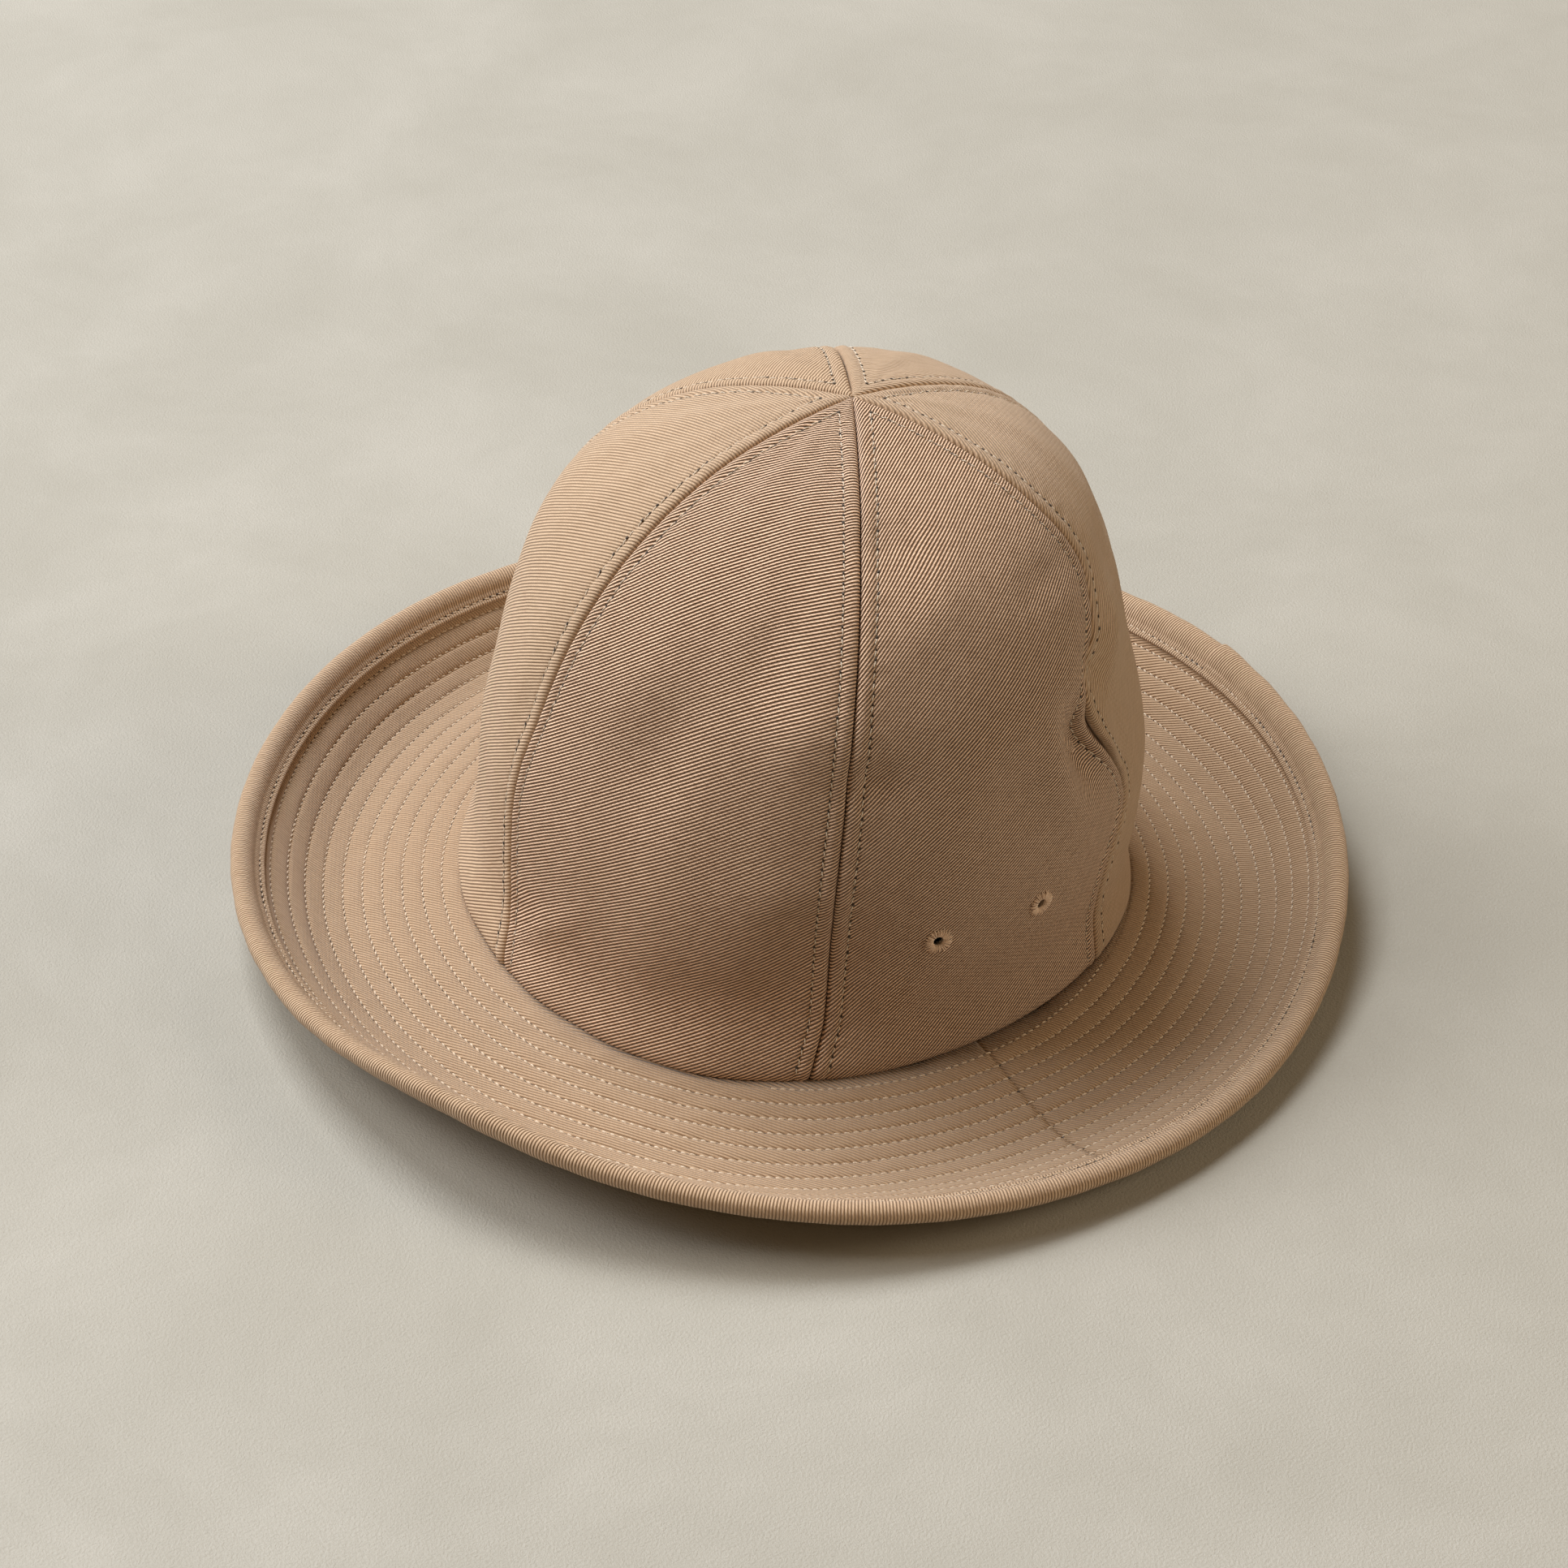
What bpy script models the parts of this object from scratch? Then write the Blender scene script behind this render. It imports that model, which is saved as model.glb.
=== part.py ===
"""Mountain hat: a deep crown of six twill panels on a dished, row stitched brim with a bound, rolled edge.

Metres, +Z up. The front of the hat faces -Y, the wearer's left is +X, and the brim rests on z = 0.
"""

import math

import bmesh
import bpy
from mathutils import Matrix, Vector

# Clearance between pieces that touch
GAP = 0.0003

# Crown
CROWN_LONG = 0.0930  # half size of the base, front to back
CROWN_WIDE = 0.0985  # half size of the base, side to side
CROWN_HEIGHT = 0.1450
CROWN_LEAN = 0.0204  # how far the tip sits behind the middle of the base
CROWN_WALL = 0.0018
TIP_RADIUS = 0.0009  # what the six panels leave open at the tip
SEAM_DIP = 0.0009
SEAM_WIDTH = 0.0028
SEAM_SWING = math.radians(7)  # the largest sideways drift of a seam
SWING_START = 0.1  # share of the height over which a seam's drift sets in
FOLD_DEPTH = 0.0060  # the deepest fold
FOOT_FADE = 0.08  # share of the height over which folds and seams fade out at the foot
TIP_FADE = 0.02  # the same at the tip

# Brim, measured along the cloth from the crown outward
BRIM_WALL = 0.0024
SLOPE_WIDTH = 0.0262  # the part that falls away from the crown
TURN_WIDTH = 0.0186  # the part that curls up
RISE_WIDTH = 0.0202  # the straight part, up to the middle of the rolled edge
SLOPE_FALL = math.radians(8.5)
EDGE_RISE = math.radians(35.7)
CURL_POWER = 1.5  # how late in the turn the brim curls up
EDGE_WAVE = 0.0040  # how far the edge rises and sinks round the hat
WAVE_POWER = 1.5  # how late towards the edge it does so
REST_PRESS = 0.00015  # how much the cloth flattens where it rests
REST_WIDTH = 0.0050  # the flattened ring
ROW_FIRST = 0.0009  # the first row of stitches
ROW_PITCH = 0.0054
ROW_DIP = 0.0004

# Edge binding
TAPE_WIDTH = 0.0071  # from its inner edge to the middle of the roll
TAPE_WALL = 0.0010
ROLL_RADIUS = 0.0029
ROLL_LIFT = 0.0004  # how far the roll stands above the middle of the brim's wall
POCKET_DEPTH = 0.0006  # how far the brim reaches past the middle of the roll

# Eyelets
EYELET_RADIUS = 0.0036
EYELET_RISE = 0.0008
EYELET_ROUND = EYELET_RISE / 3  # how far its edges are rounded
BARREL_RADIUS = 0.0021
VENT_RADIUS = 0.0010
CUT_DEPTH = 6 * CROWN_WALL  # long enough to pass through the wall on a slant

# Mesh steps
PANEL_COLUMNS = 10
PANEL_ROWS = 16
ROW_POWER = 1.8  # how much closer together a panel's rows come towards the tip
SEAM_COLUMN = 1.2  # width of a panel's outermost columns, in seam widths
SEAM_COLUMN_SHARE = 0.2  # their largest share of the panel's width
BRIM_STEPS = 30  # in each half
ROLL_STEPS = 9
EYELET_SIDES = 12
CUT_SIDES = 2 * EYELET_SIDES
TRACE_STEP = 0.0002  # along the brim
BRIM_STEP = 0.0004  # either side of a point of the brim, to find its slope
TURN_STEP = 0.002  # either side of a point of the crown, in radians and shares, to find its normal
SHARP_ANGLE = math.radians(40)

PANEL_NAMES = (
    "crown_front_left",
    "crown_left",
    "crown_back_left",
    "crown_back_right",
    "crown_right",
    "crown_front_right",
)

CROWN_PROFILE = (
    # share of the height, share of the half size of the base
    (1.000, 0.000),
    (0.985, 0.212),
    (0.930, 0.468),
    (0.820, 0.697),
    (0.680, 0.848),
    (0.520, 0.927),
    (0.350, 0.968),
    (0.170, 0.965),
    (0.000, 1.000),
)

SEAM_DRIFTS = (
    # seam from the front round by the left, share of the height, half height, share of SEAM_SWING
    (0, 0.32, 0.28, -0.75),
    (1, 0.10, 0.20, 0.20),
    (2, 0.62, 0.12, -1.00),
    (4, 0.50, 0.25, 0.25),
)

FOLDS = (
    # degrees from the front, share of the height, half width in degrees, half height, degrees of slant
    # over the whole height, share of FOLD_DEPTH (minus is a hollow)
    (113, 0.62, 8, 0.11, -30, -1.00),
    (104, 0.48, 8, 0.12, -60, -0.40),
    (142, 0.66, 30, 0.18, 0, -0.40),
    (150, 0.94, 40, 0.06, 0, -0.20),
    (-32, 0.36, 26, 0.18, 0, -0.30),
    (-50, 0.78, 44, 0.14, 0, 0.50),
    (47, 0.62, 6, 0.10, 70, -0.28),
    (36, 0.46, 9, 0.12, 60, 0.22),
    (44, 0.14, 14, 0.06, 0, -0.25),
    (203, 0.55, 11, 0.16, 30, -0.35),
    (262, 0.62, 9, 0.14, -50, -0.30),
)

EDGE_WAVES = (
    # times round the hat, share of EDGE_WAVE from the front, share of EDGE_WAVE from the left
    (2, 0.81, 0.27),
    (3, -0.41, 0.55),
)

EDGE_SWELLS = (
    # degrees from the front, half width in degrees, share of EDGE_WAVE (minus is lower)
    (22, 15, 1.10),
    (66, 34, -0.80),
    (120, 26, -0.80),
    (285, 32, 0.40),
)

EYELETS = (
    # name, degrees from the front, share of the crown's height
    ("eyelet_left_front", 79, 0.255),
    ("eyelet_left_back", 100, 0.250),
    ("eyelet_right_front", 281, 0.255),
    ("eyelet_right_back", 260, 0.250),
)


def clamp(value, low=0.0, high=1.0):
    return max(low, min(high, value))


def curve_through(rows, x):
    """A smooth curve through rows of (x, y) with x rising."""
    last = len(rows) - 2
    i = 0
    while i < last and x > rows[i + 1][0]:
        i += 1

    def slope(k):
        before, after = rows[max(k - 1, 0)], rows[min(k + 1, len(rows) - 1)]
        return (after[1] - before[1]) / (after[0] - before[0])

    (x0, y0), (x1, y1) = rows[i], rows[i + 1]
    step = x1 - x0
    u = (x - x0) / step
    return (
        y0 * (1 + 2 * u) * (1 - u) ** 2
        + slope(i) * step * u * (1 - u) ** 2
        + y1 * u * u * (3 - 2 * u)
        + slope(i + 1) * step * u * u * (u - 1)
    )


def bump(distance, reach):
    return math.exp(-((distance / reach) ** 2))


def turn_between(a, b):
    """The smaller turn from b to a, from -pi to pi."""
    return (a - b + math.pi) % (2 * math.pi) - math.pi


# Brim

BRIM_REACH = SLOPE_WIDTH + TURN_WIDTH + RISE_WIDTH
BRIM_END = BRIM_REACH + POCKET_DEPTH


def brim_slope(along):
    if along <= 0:
        return 0.0
    share = clamp((along - SLOPE_WIDTH) / TURN_WIDTH)
    return (SLOPE_FALL + EDGE_RISE) * share**CURL_POWER - SLOPE_FALL


def trace_brim():
    """Rows of (along, out, up) for the middle of the brim's wall, from the crown outward."""
    rows = [(0.0, 0.0, 0.0)]
    while rows[-1][0] < BRIM_REACH:
        along, out, up = rows[-1]
        slope = brim_slope(along + TRACE_STEP / 2)
        out += TRACE_STEP * math.cos(slope)
        up += TRACE_STEP * math.sin(slope)
        rows.append((along + TRACE_STEP, out, up))
    return rows


BRIM_TRACE = trace_brim()
BRIM_LOW = min(BRIM_TRACE, key=lambda row: row[2])
SEAM_HEIGHT = BRIM_WALL / 2 - REST_PRESS - BRIM_LOW[2]
CROWN_FOOT = SEAM_HEIGHT + BRIM_WALL / 2 + GAP


def brim_line(along):
    """How far out and up the middle of the brim's wall is."""
    if along <= 0:
        return along, 0.0
    i = min(int(along / TRACE_STEP), len(BRIM_TRACE) - 2)
    (a0, out0, up0), (a1, out1, up1) = BRIM_TRACE[i], BRIM_TRACE[i + 1]
    share = (along - a0) / (a1 - a0)
    return out0 + share * (out1 - out0), up0 + share * (up1 - up0)


def edge_wave(turn, along):
    """The rise of the brim above its even dish, from nothing at the resting ring."""
    start = BRIM_LOW[0] + REST_WIDTH / 2
    share = max(0.0, (along - start) / (BRIM_REACH - start))
    rise = 0.0
    for times, front, left in EDGE_WAVES:
        rise += front * math.cos(times * turn) + left * math.sin(times * turn)
    for degrees, width, height in EDGE_SWELLS:
        rise += height * bump(turn_between(turn, math.radians(degrees)), math.radians(width))
    return EDGE_WAVE * rise * share**WAVE_POWER


def brim_point(turn, along, lift):
    """A point of the brim: along the cloth from the crown, and lifted square to it."""
    outward = Vector((math.sin(turn) / CROWN_WIDE, -math.cos(turn) / CROWN_LONG, 0)).normalized()
    foot = Vector((CROWN_WIDE * math.sin(turn), -CROWN_LONG * math.cos(turn), SEAM_HEIGHT))
    out0, up0 = brim_line(along - BRIM_STEP)
    out1, up1 = brim_line(along + BRIM_STEP)
    up0 += edge_wave(turn, along - BRIM_STEP)
    up1 += edge_wave(turn, along + BRIM_STEP)
    run, rise = out1 - out0, up1 - up0
    length = math.hypot(run, rise)
    out, up = brim_line(along)
    out -= lift * rise / length
    up += edge_wave(turn, along) + lift * run / length
    point = foot + outward * out + Vector((0, 0, up))
    point.z = max(point.z, 0.0)
    return point


def brim_section():
    """The brim's outline as (along, lift): the stitched top outward, then the plain underside inward."""
    half = BRIM_WALL / 2
    tape_start = BRIM_REACH - TAPE_WIDTH
    top = [(-CROWN_WALL, half), (0.0, half)]
    rows = int((tape_start - GAP - ROW_FIRST) / ROW_PITCH) + 1
    for i in range(rows):
        row = ROW_FIRST + i * ROW_PITCH
        top.append((row, half - ROW_DIP))
        crest = row + ROW_PITCH / 2
        if crest < tape_start - GAP:
            top.append((crest, half))
    top.append((tape_start, half))
    top.append((BRIM_END - GAP, half))
    rest = BRIM_LOW[0]
    curl = SLOPE_WIDTH + TURN_WIDTH
    under = [BRIM_END - GAP, curl + RISE_WIDTH / 2, curl, (curl + rest + REST_WIDTH / 2) / 2]
    under += [rest + REST_WIDTH / 2, rest - REST_WIDTH / 2, SLOPE_WIDTH / 2, 0.0, -CROWN_WALL]
    return top + [(along, -half) for along in under]


def binding_section():
    """The folded tape: a flap on each face of the brim, joined by the roll that holds its edge."""
    inner = BRIM_WALL / 2 + GAP
    outer = inner + TAPE_WALL
    start = BRIM_REACH - TAPE_WIDTH
    first = math.pi - math.asin(clamp((outer - ROLL_LIFT) / ROLL_RADIUS))
    last = -math.pi / 2
    points = [(start, inner), (start, outer)]
    for i in range(ROLL_STEPS):
        angle = first + (last - first) * i / (ROLL_STEPS - 1)
        points.append((
            BRIM_REACH + ROLL_RADIUS * math.cos(angle),
            ROLL_LIFT + ROLL_RADIUS * math.sin(angle),
        ))
    points += [(start, -outer), (start, -inner), (BRIM_END, -inner), (BRIM_END, inner)]
    return points


def sweep(section, turns, closed):
    """A mesh that carries a section round the hat, closed into a ring or capped at both ends.

    Each patch is split from its inner corner here to its outer one there, so faces that lie on each other
    bend alike.
    """
    mesh = bmesh.new()
    rings = [[mesh.verts.new(brim_point(turn, *place)) for place in section] for turn in turns]
    count = len(section)
    pairs = list(zip(rings, rings[1:]))
    if closed:
        pairs.append((rings[-1], rings[0]))
    for here, there in pairs:
        for i in range(count):
            j = (i + 1) % count
            if section[i][0] <= section[j][0]:
                mesh.faces.new((here[i], here[j], there[j]))
                mesh.faces.new((here[i], there[j], there[i]))
            else:
                mesh.faces.new((here[i], here[j], there[i]))
                mesh.faces.new((here[j], there[j], there[i]))
    if not closed:
        mesh.faces.new(rings[0])
        mesh.faces.new(rings[-1][::-1])
    return mesh


def brim_half(first_turn):
    """Half of the brim, from one side seam to the other."""
    seam = GAP / 2 / (CROWN_LONG + BRIM_REACH)
    turns = [first_turn + seam]
    for i in range(1, BRIM_STEPS):
        turns.append(first_turn + math.pi * i / BRIM_STEPS)
    turns.append(first_turn + math.pi - seam)
    mesh = sweep(brim_section(), turns, False)
    # The side seams keep the same clearance at the crown as at the edge.
    for vert in mesh.verts:
        if abs(vert.co.y) < GAP / 2:
            vert.co.y = math.copysign(GAP / 2, -math.cos(first_turn + math.pi / 2))
    return mesh


# Crown

PROFILE_ROWS = [(math.sqrt(1 - height), half) for height, half in CROWN_PROFILE]


def seam_turn(seam, share):
    turn = seam * 2 * math.pi / len(PANEL_NAMES)
    for number, height, reach, swing in SEAM_DRIFTS:
        if number == seam % len(PANEL_NAMES):
            turn += SEAM_SWING * swing * bump(share - height, reach) * clamp(share / SWING_START)
    return turn


def crown_fade(share):
    """Nothing at the foot and the tip of the crown, and one between."""
    return clamp(share / FOOT_FADE) * clamp((1 - share) / TIP_FADE)


def crown_point(turn, share):
    """A point of the crown's outer face."""
    half = curve_through(PROFILE_ROWS, math.sqrt(max(0.0, 1 - share)))
    push = 0.0
    for degrees, height, width, reach, slant, depth in FOLDS:
        middle = math.radians(degrees + slant * (share - height))
        across = bump(turn_between(turn, middle), math.radians(width))
        push += depth * FOLD_DEPTH * across * bump(share - height, reach)
    for seam in range(len(PANEL_NAMES)):
        away = turn_between(turn, seam_turn(seam, share)) * half * CROWN_WIDE
        push -= SEAM_DIP * bump(away, SEAM_WIDTH)
    push *= crown_fade(share)
    outward = Vector((math.sin(turn), -math.cos(turn), 0))
    point = Vector((CROWN_WIDE * outward.x, CROWN_LONG * outward.y, 0)) * half + outward * push
    point.y += CROWN_LEAN * share
    point.z = CROWN_FOOT + CROWN_HEIGHT * share
    return point


def crown_normal(turn, share):
    across = crown_point(turn + TURN_STEP, share) - crown_point(turn - TURN_STEP, share)
    upward = crown_point(turn, min(share + TURN_STEP, 1.0)) - crown_point(turn, share - TURN_STEP)
    normal = across.cross(upward)
    if share == 0:
        normal.z = 0
    return normal.normalized()


def panel_shares():
    """Shares of the height for the rows of a panel, closer together towards the tip."""
    height, half = CROWN_PROFILE[1]
    tip = 1 - (1 - height) * (TIP_RADIUS / CROWN_WIDE / half) ** 2
    shares = [1 - (1 - i / PANEL_ROWS) ** ROW_POWER for i in range(PANEL_ROWS)]
    return shares + [tip]


def panel_turns(number, share):
    """Turns for the columns of a panel, with a narrow one along each seam."""
    half = curve_through(PROFILE_ROWS, math.sqrt(1 - share)) * CROWN_LONG
    first = seam_turn(number, share) + math.asin(GAP / 2 / half)
    last = seam_turn(number + 1, share) - math.asin(GAP / 2 / half)
    width = last - first
    margin = min(SEAM_COLUMN * SEAM_WIDTH / half, SEAM_COLUMN_SHARE * width)
    turns = [first]
    for i in range(PANEL_COLUMNS - 1):
        turns.append(first + margin + (width - 2 * margin) * i / (PANEL_COLUMNS - 2))
    turns.append(last)
    return turns


def crown_panel(number):
    mesh = bmesh.new()
    outer, inner = [], []
    for share in panel_shares():
        turns = panel_turns(number, share)
        outer.append([mesh.verts.new(crown_point(turn, share)) for turn in turns])
        inner.append([
            mesh.verts.new(crown_point(turn, share) - crown_normal(turn, share) * CROWN_WALL)
            for turn in turns
        ])
    for i in range(PANEL_ROWS):
        for j in range(PANEL_COLUMNS):
            mesh.faces.new((outer[i][j], outer[i][j + 1], outer[i + 1][j + 1], outer[i + 1][j]))
            mesh.faces.new((inner[i][j], inner[i + 1][j], inner[i + 1][j + 1], inner[i][j + 1]))
        mesh.faces.new((outer[i][0], outer[i + 1][0], inner[i + 1][0], inner[i][0]))
        mesh.faces.new((outer[i][-1], inner[i][-1], inner[i + 1][-1], outer[i + 1][-1]))
    for j in range(PANEL_COLUMNS):
        mesh.faces.new((outer[0][j], inner[0][j], inner[0][j + 1], outer[0][j + 1]))
        mesh.faces.new((outer[-1][j], outer[-1][j + 1], inner[-1][j + 1], inner[-1][j]))
    return mesh


# Eyelets

def eyelet_place(degrees, share):
    """Where an eyelet sits, with its Z axis pointing out of the crown."""
    turn = math.radians(degrees)
    turned = crown_normal(turn, share).to_track_quat("Z", "Y").to_matrix().to_4x4()
    return Matrix.Translation(crown_point(turn, share)) @ turned


def turned_ring(profile):
    """A closed ring: a profile of (radius, height) turned about the Z axis."""
    mesh = bmesh.new()
    rings = []
    for i in range(EYELET_SIDES):
        angle = 2 * math.pi * i / EYELET_SIDES
        rings.append([
            mesh.verts.new((radius * math.cos(angle), radius * math.sin(angle), height))
            for radius, height in profile
        ])
    count = len(profile)
    for i in range(EYELET_SIDES):
        here, there = rings[i], rings[(i + 1) % EYELET_SIDES]
        for j in range(count):
            k = (j + 1) % count
            mesh.faces.new((here[j], there[j], there[k], here[k]))
    return mesh


def eyelet_profile():
    under = -CROWN_WALL
    top = GAP + EYELET_RISE
    shoulder = (BARREL_RADIUS + EYELET_RADIUS) / 2
    return [
        (VENT_RADIUS, under),
        (BARREL_RADIUS, under),
        (BARREL_RADIUS, GAP),
        (EYELET_RADIUS, GAP),
        (EYELET_RADIUS, GAP + EYELET_ROUND),
        (shoulder, top),
        (VENT_RADIUS + EYELET_ROUND, top),
        (VENT_RADIUS, top - EYELET_ROUND),
    ]


def vent_cutter(name, places):
    """Round cuts through a side panel, one for the barrel of each of its eyelets."""
    mesh = bmesh.new()
    for place in places:
        bmesh.ops.create_cone(
            mesh,
            cap_ends=True,
            segments=CUT_SIDES,
            radius1=BARREL_RADIUS + GAP,
            radius2=BARREL_RADIUS + GAP,
            depth=CUT_DEPTH,
            matrix=place,
        )
    cutter = add_object(name, mesh, None)
    cutter.hide_render = True
    cutter.display_type = "WIRE"
    return cutter


# Materials and objects

def cloth(name, colour, roughness):
    material = bpy.data.materials.new(name)
    material.use_nodes = True
    surface = material.node_tree.nodes["Principled BSDF"]
    surface.inputs["Base Color"].default_value = (*colour, 1)
    surface.inputs["Roughness"].default_value = roughness
    surface.inputs["Metallic"].default_value = 0
    return material


def add_object(name, mesh, material, place=None):
    data = bpy.data.meshes.new(name)
    bmesh.ops.recalc_face_normals(mesh, faces=mesh.faces)
    mesh.to_mesh(data)
    mesh.free()
    data.shade_smooth()
    data.set_sharp_from_angle(angle=SHARP_ANGLE)
    if material:
        data.materials.append(material)
    thing = bpy.data.objects.new(name, data)
    if place:
        thing.matrix_world = place
    bpy.context.collection.objects.link(thing)
    return thing


def add_crown():
    places = {name: eyelet_place(degrees, share) for name, degrees, share in EYELETS}
    for number, name in enumerate(PANEL_NAMES):
        material = cloth(name, (0.434, 0.296, 0.174), 0.90)
        panel = add_object(name, crown_panel(number), material)
        side = name.replace("crown", "eyelet") + "_"
        vents = [place for eyelet, place in places.items() if eyelet.startswith(side)]
        if vents:
            cut = panel.modifiers.new("vents", "BOOLEAN")
            cut.operation = "DIFFERENCE"
            cut.object = vent_cutter(name + "_vents", vents)
    for name, place in places.items():
        material = cloth(name, (0.50, 0.34, 0.22), 0.75)
        add_object(name, turned_ring(eyelet_profile()), material, place)


def add_brim():
    for name, first_turn in (("brim_back", math.pi / 2), ("brim_front", -math.pi / 2)):
        add_object(name, brim_half(first_turn), cloth(name, (0.42, 0.285, 0.165), 0.90))
    turns = [math.pi * i / BRIM_STEPS for i in range(2 * BRIM_STEPS)]
    material = cloth("edge_binding", (0.40, 0.27, 0.155), 0.85)
    add_object("edge_binding", sweep(binding_section(), turns, True), material)


def main():
    for thing in list(bpy.data.objects):
        bpy.data.objects.remove(thing, do_unlink=True)
    add_brim()
    add_crown()


main()
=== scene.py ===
"""Mountain hat in tan cotton twill: fine cloth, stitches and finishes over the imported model.

Metres, +Z up. The front of the hat faces -Y, the wearer's left is +X, and the brim rests on z = 0.
A turn goes round the hat from the front by the wearer's left. A share is a share of the crown's height.
Along is measured on the brim's cloth from the crown outward, and lift is measured square to it.
"""

import math

import bmesh
import bpy
import numpy as np
from mathutils import Matrix, Vector


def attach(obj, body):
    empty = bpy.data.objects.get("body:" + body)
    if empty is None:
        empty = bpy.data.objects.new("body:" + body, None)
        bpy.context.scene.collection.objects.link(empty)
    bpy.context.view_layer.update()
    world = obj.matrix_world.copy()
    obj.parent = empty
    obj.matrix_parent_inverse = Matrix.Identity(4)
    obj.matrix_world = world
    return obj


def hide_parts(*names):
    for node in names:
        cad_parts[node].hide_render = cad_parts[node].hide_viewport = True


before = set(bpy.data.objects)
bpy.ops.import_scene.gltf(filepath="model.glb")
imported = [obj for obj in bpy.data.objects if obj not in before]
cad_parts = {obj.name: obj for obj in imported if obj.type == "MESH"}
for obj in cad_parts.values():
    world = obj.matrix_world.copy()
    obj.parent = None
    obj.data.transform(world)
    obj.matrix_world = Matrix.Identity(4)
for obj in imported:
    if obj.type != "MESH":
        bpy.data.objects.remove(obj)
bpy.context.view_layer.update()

TAU = 2 * math.pi
MM = 0.001

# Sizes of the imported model
GAP = 0.3 * MM
CROWN_LONG = 93.0 * MM
CROWN_WIDE = 98.5 * MM
CROWN_MEAN = (CROWN_WIDE + CROWN_LONG) / 2
CROWN_HEIGHT = 145.0 * MM
CROWN_LEAN = 20.4 * MM
CROWN_WALL = 1.8 * MM
SEAM_SWING = math.radians(7)
SWING_START = 0.1
FOOT_FADE = 0.08
TIP_FADE = 0.02
BRIM_WALL = 2.4 * MM
SLOPE_WIDTH = 26.2 * MM
TURN_WIDTH = 18.6 * MM
RISE_WIDTH = 20.2 * MM
SLOPE_FALL = math.radians(8.5)
EDGE_RISE = math.radians(35.7)
CURL_POWER = 1.5
EDGE_WAVE = 4.0 * MM
WAVE_POWER = 1.5
REST_PRESS = 0.15 * MM
REST_WIDTH = 5.0 * MM
TAPE_WIDTH = 7.1 * MM
TAPE_WALL = 1.0 * MM
ROLL_RADIUS = 2.9 * MM
ROLL_LIFT = 0.4 * MM
POCKET_DEPTH = 0.6 * MM
EYELET_RADIUS = 3.6 * MM
BARREL_RADIUS = 2.1 * MM
VENT_RADIUS = 1.0 * MM
TRACE_STEP = 0.2 * MM
BRIM_STEP = 0.4 * MM

PANEL_NAMES = (
    "crown_front_left", "crown_left", "crown_back_left",
    "crown_back_right", "crown_right", "crown_front_right",
)

CROWN_PROFILE = (
    # share of the height, share of the half size of the base
    (1.000, 0.000),
    (0.985, 0.212),
    (0.930, 0.468),
    (0.820, 0.697),
    (0.680, 0.848),
    (0.520, 0.927),
    (0.350, 0.968),
    (0.170, 0.965),
    (0.000, 1.000),
)

SEAM_DRIFTS = (
    # seam, share of the height, half height, share of SEAM_SWING
    (0, 0.32, 0.28, -0.75),
    (1, 0.10, 0.20, 0.20),
    (2, 0.34, 0.10, 0.62),
    (2, 0.58, 0.12, -1.27),
    (2, 0.79, 0.10, 0.66),
    (4, 0.50, 0.25, 0.25),
)

FOLDS = (
    # degrees from the front, share of the height, half width in degrees, half height, degrees of slant
    # over the whole height, height in millimetres (minus is a hollow)
    (-50, 0.78, 44, 0.14, 0, 3.0),
    (-32, 0.36, 26, 0.18, 0, -1.8),
    (-40, 0.30, 10, 0.14, 60, 0.9),
    (-22, 0.72, 7, 0.09, 40, -0.6),
    (-7, 0.50, 5, 0.06, 0, -0.9),
    (8, 0.13, 4, 0.08, 93, 1.0),
    (26, 0.60, 11, 0.18, 52, -2.9),
    (42, 0.77, 6, 0.08, 20, -1.1),
    (37, 0.27, 12, 0.14, 25, 2.4),
    (44, 0.14, 14, 0.06, 0, -1.5),
    (53, 0.38, 7, 0.05, 0, 1.4),
    (53, 0.66, 8, 0.06, 0, 1.3),
    (58, 0.66, 10, 0.26, 0, 2.6),
    (64, 0.24, 12, 0.11, 0, -1.8),
    (65, 0.585, 6, 0.035, 0, -1.9),
    (68, 0.905, 11, 0.025, 30, -1.7),
    (80, 0.85, 9, 0.07, 80, 1.6),
    (84, 0.55, 10, 0.16, 80, 1.0),
    (97, 0.46, 8, 0.12, -60, -1.2),
    (105, 0.52, 9, 0.13, 0, 3.2),
    (110, 0.81, 12, 0.03, 0, -1.1),
    (108.5, 0.52, 4.3, 0.085, -35, -8.2),
    (117.5, 0.49, 3, 0.07, -30, 1.5),
    (116, 0.62, 5, 0.05, -30, -3.2),
    (126, 0.66, 6, 0.09, 60, 2.2),
    (143, 0.25, 26, 0.17, 0, 2.4),
    (144, 0.58, 28, 0.20, 0, -4.7),
    (142, 0.735, 24, 0.05, 0, -1.3),
    (150, 0.90, 40, 0.08, 0, 0.5),
    (150, 0.45, 10, 0.16, -50, 0.9),
    (172, 0.60, 6, 0.10, 40, -1.1),
    (186, 0.35, 8, 0.10, -60, 1.0),
    (203, 0.55, 11, 0.16, 30, -2.1),
    (222, 0.70, 9, 0.12, 50, -1.2),
    (232, 0.40, 10, 0.14, -30, 1.1),
    (247, 0.60, 6, 0.08, 60, -0.9),
    (262, 0.62, 9, 0.14, -50, -1.8),
    (285, 0.66, 10, 0.12, 50, -1.1),
    (296, 0.42, 8, 0.10, -40, 1.0),
)

EDGE_WAVES = (
    # times round the hat, share of EDGE_WAVE from the front, share of EDGE_WAVE from the left
    (2, 0.81, 0.27),
    (3, -0.41, 0.55),
)

EDGE_SWELLS = (
    # degrees from the front, half width in degrees, share of EDGE_WAVE (minus is lower)
    (22, 15, 1.10),
    (66, 34, -0.80),
    (120, 26, -0.80),
    (285, 32, 0.40),
)

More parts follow.
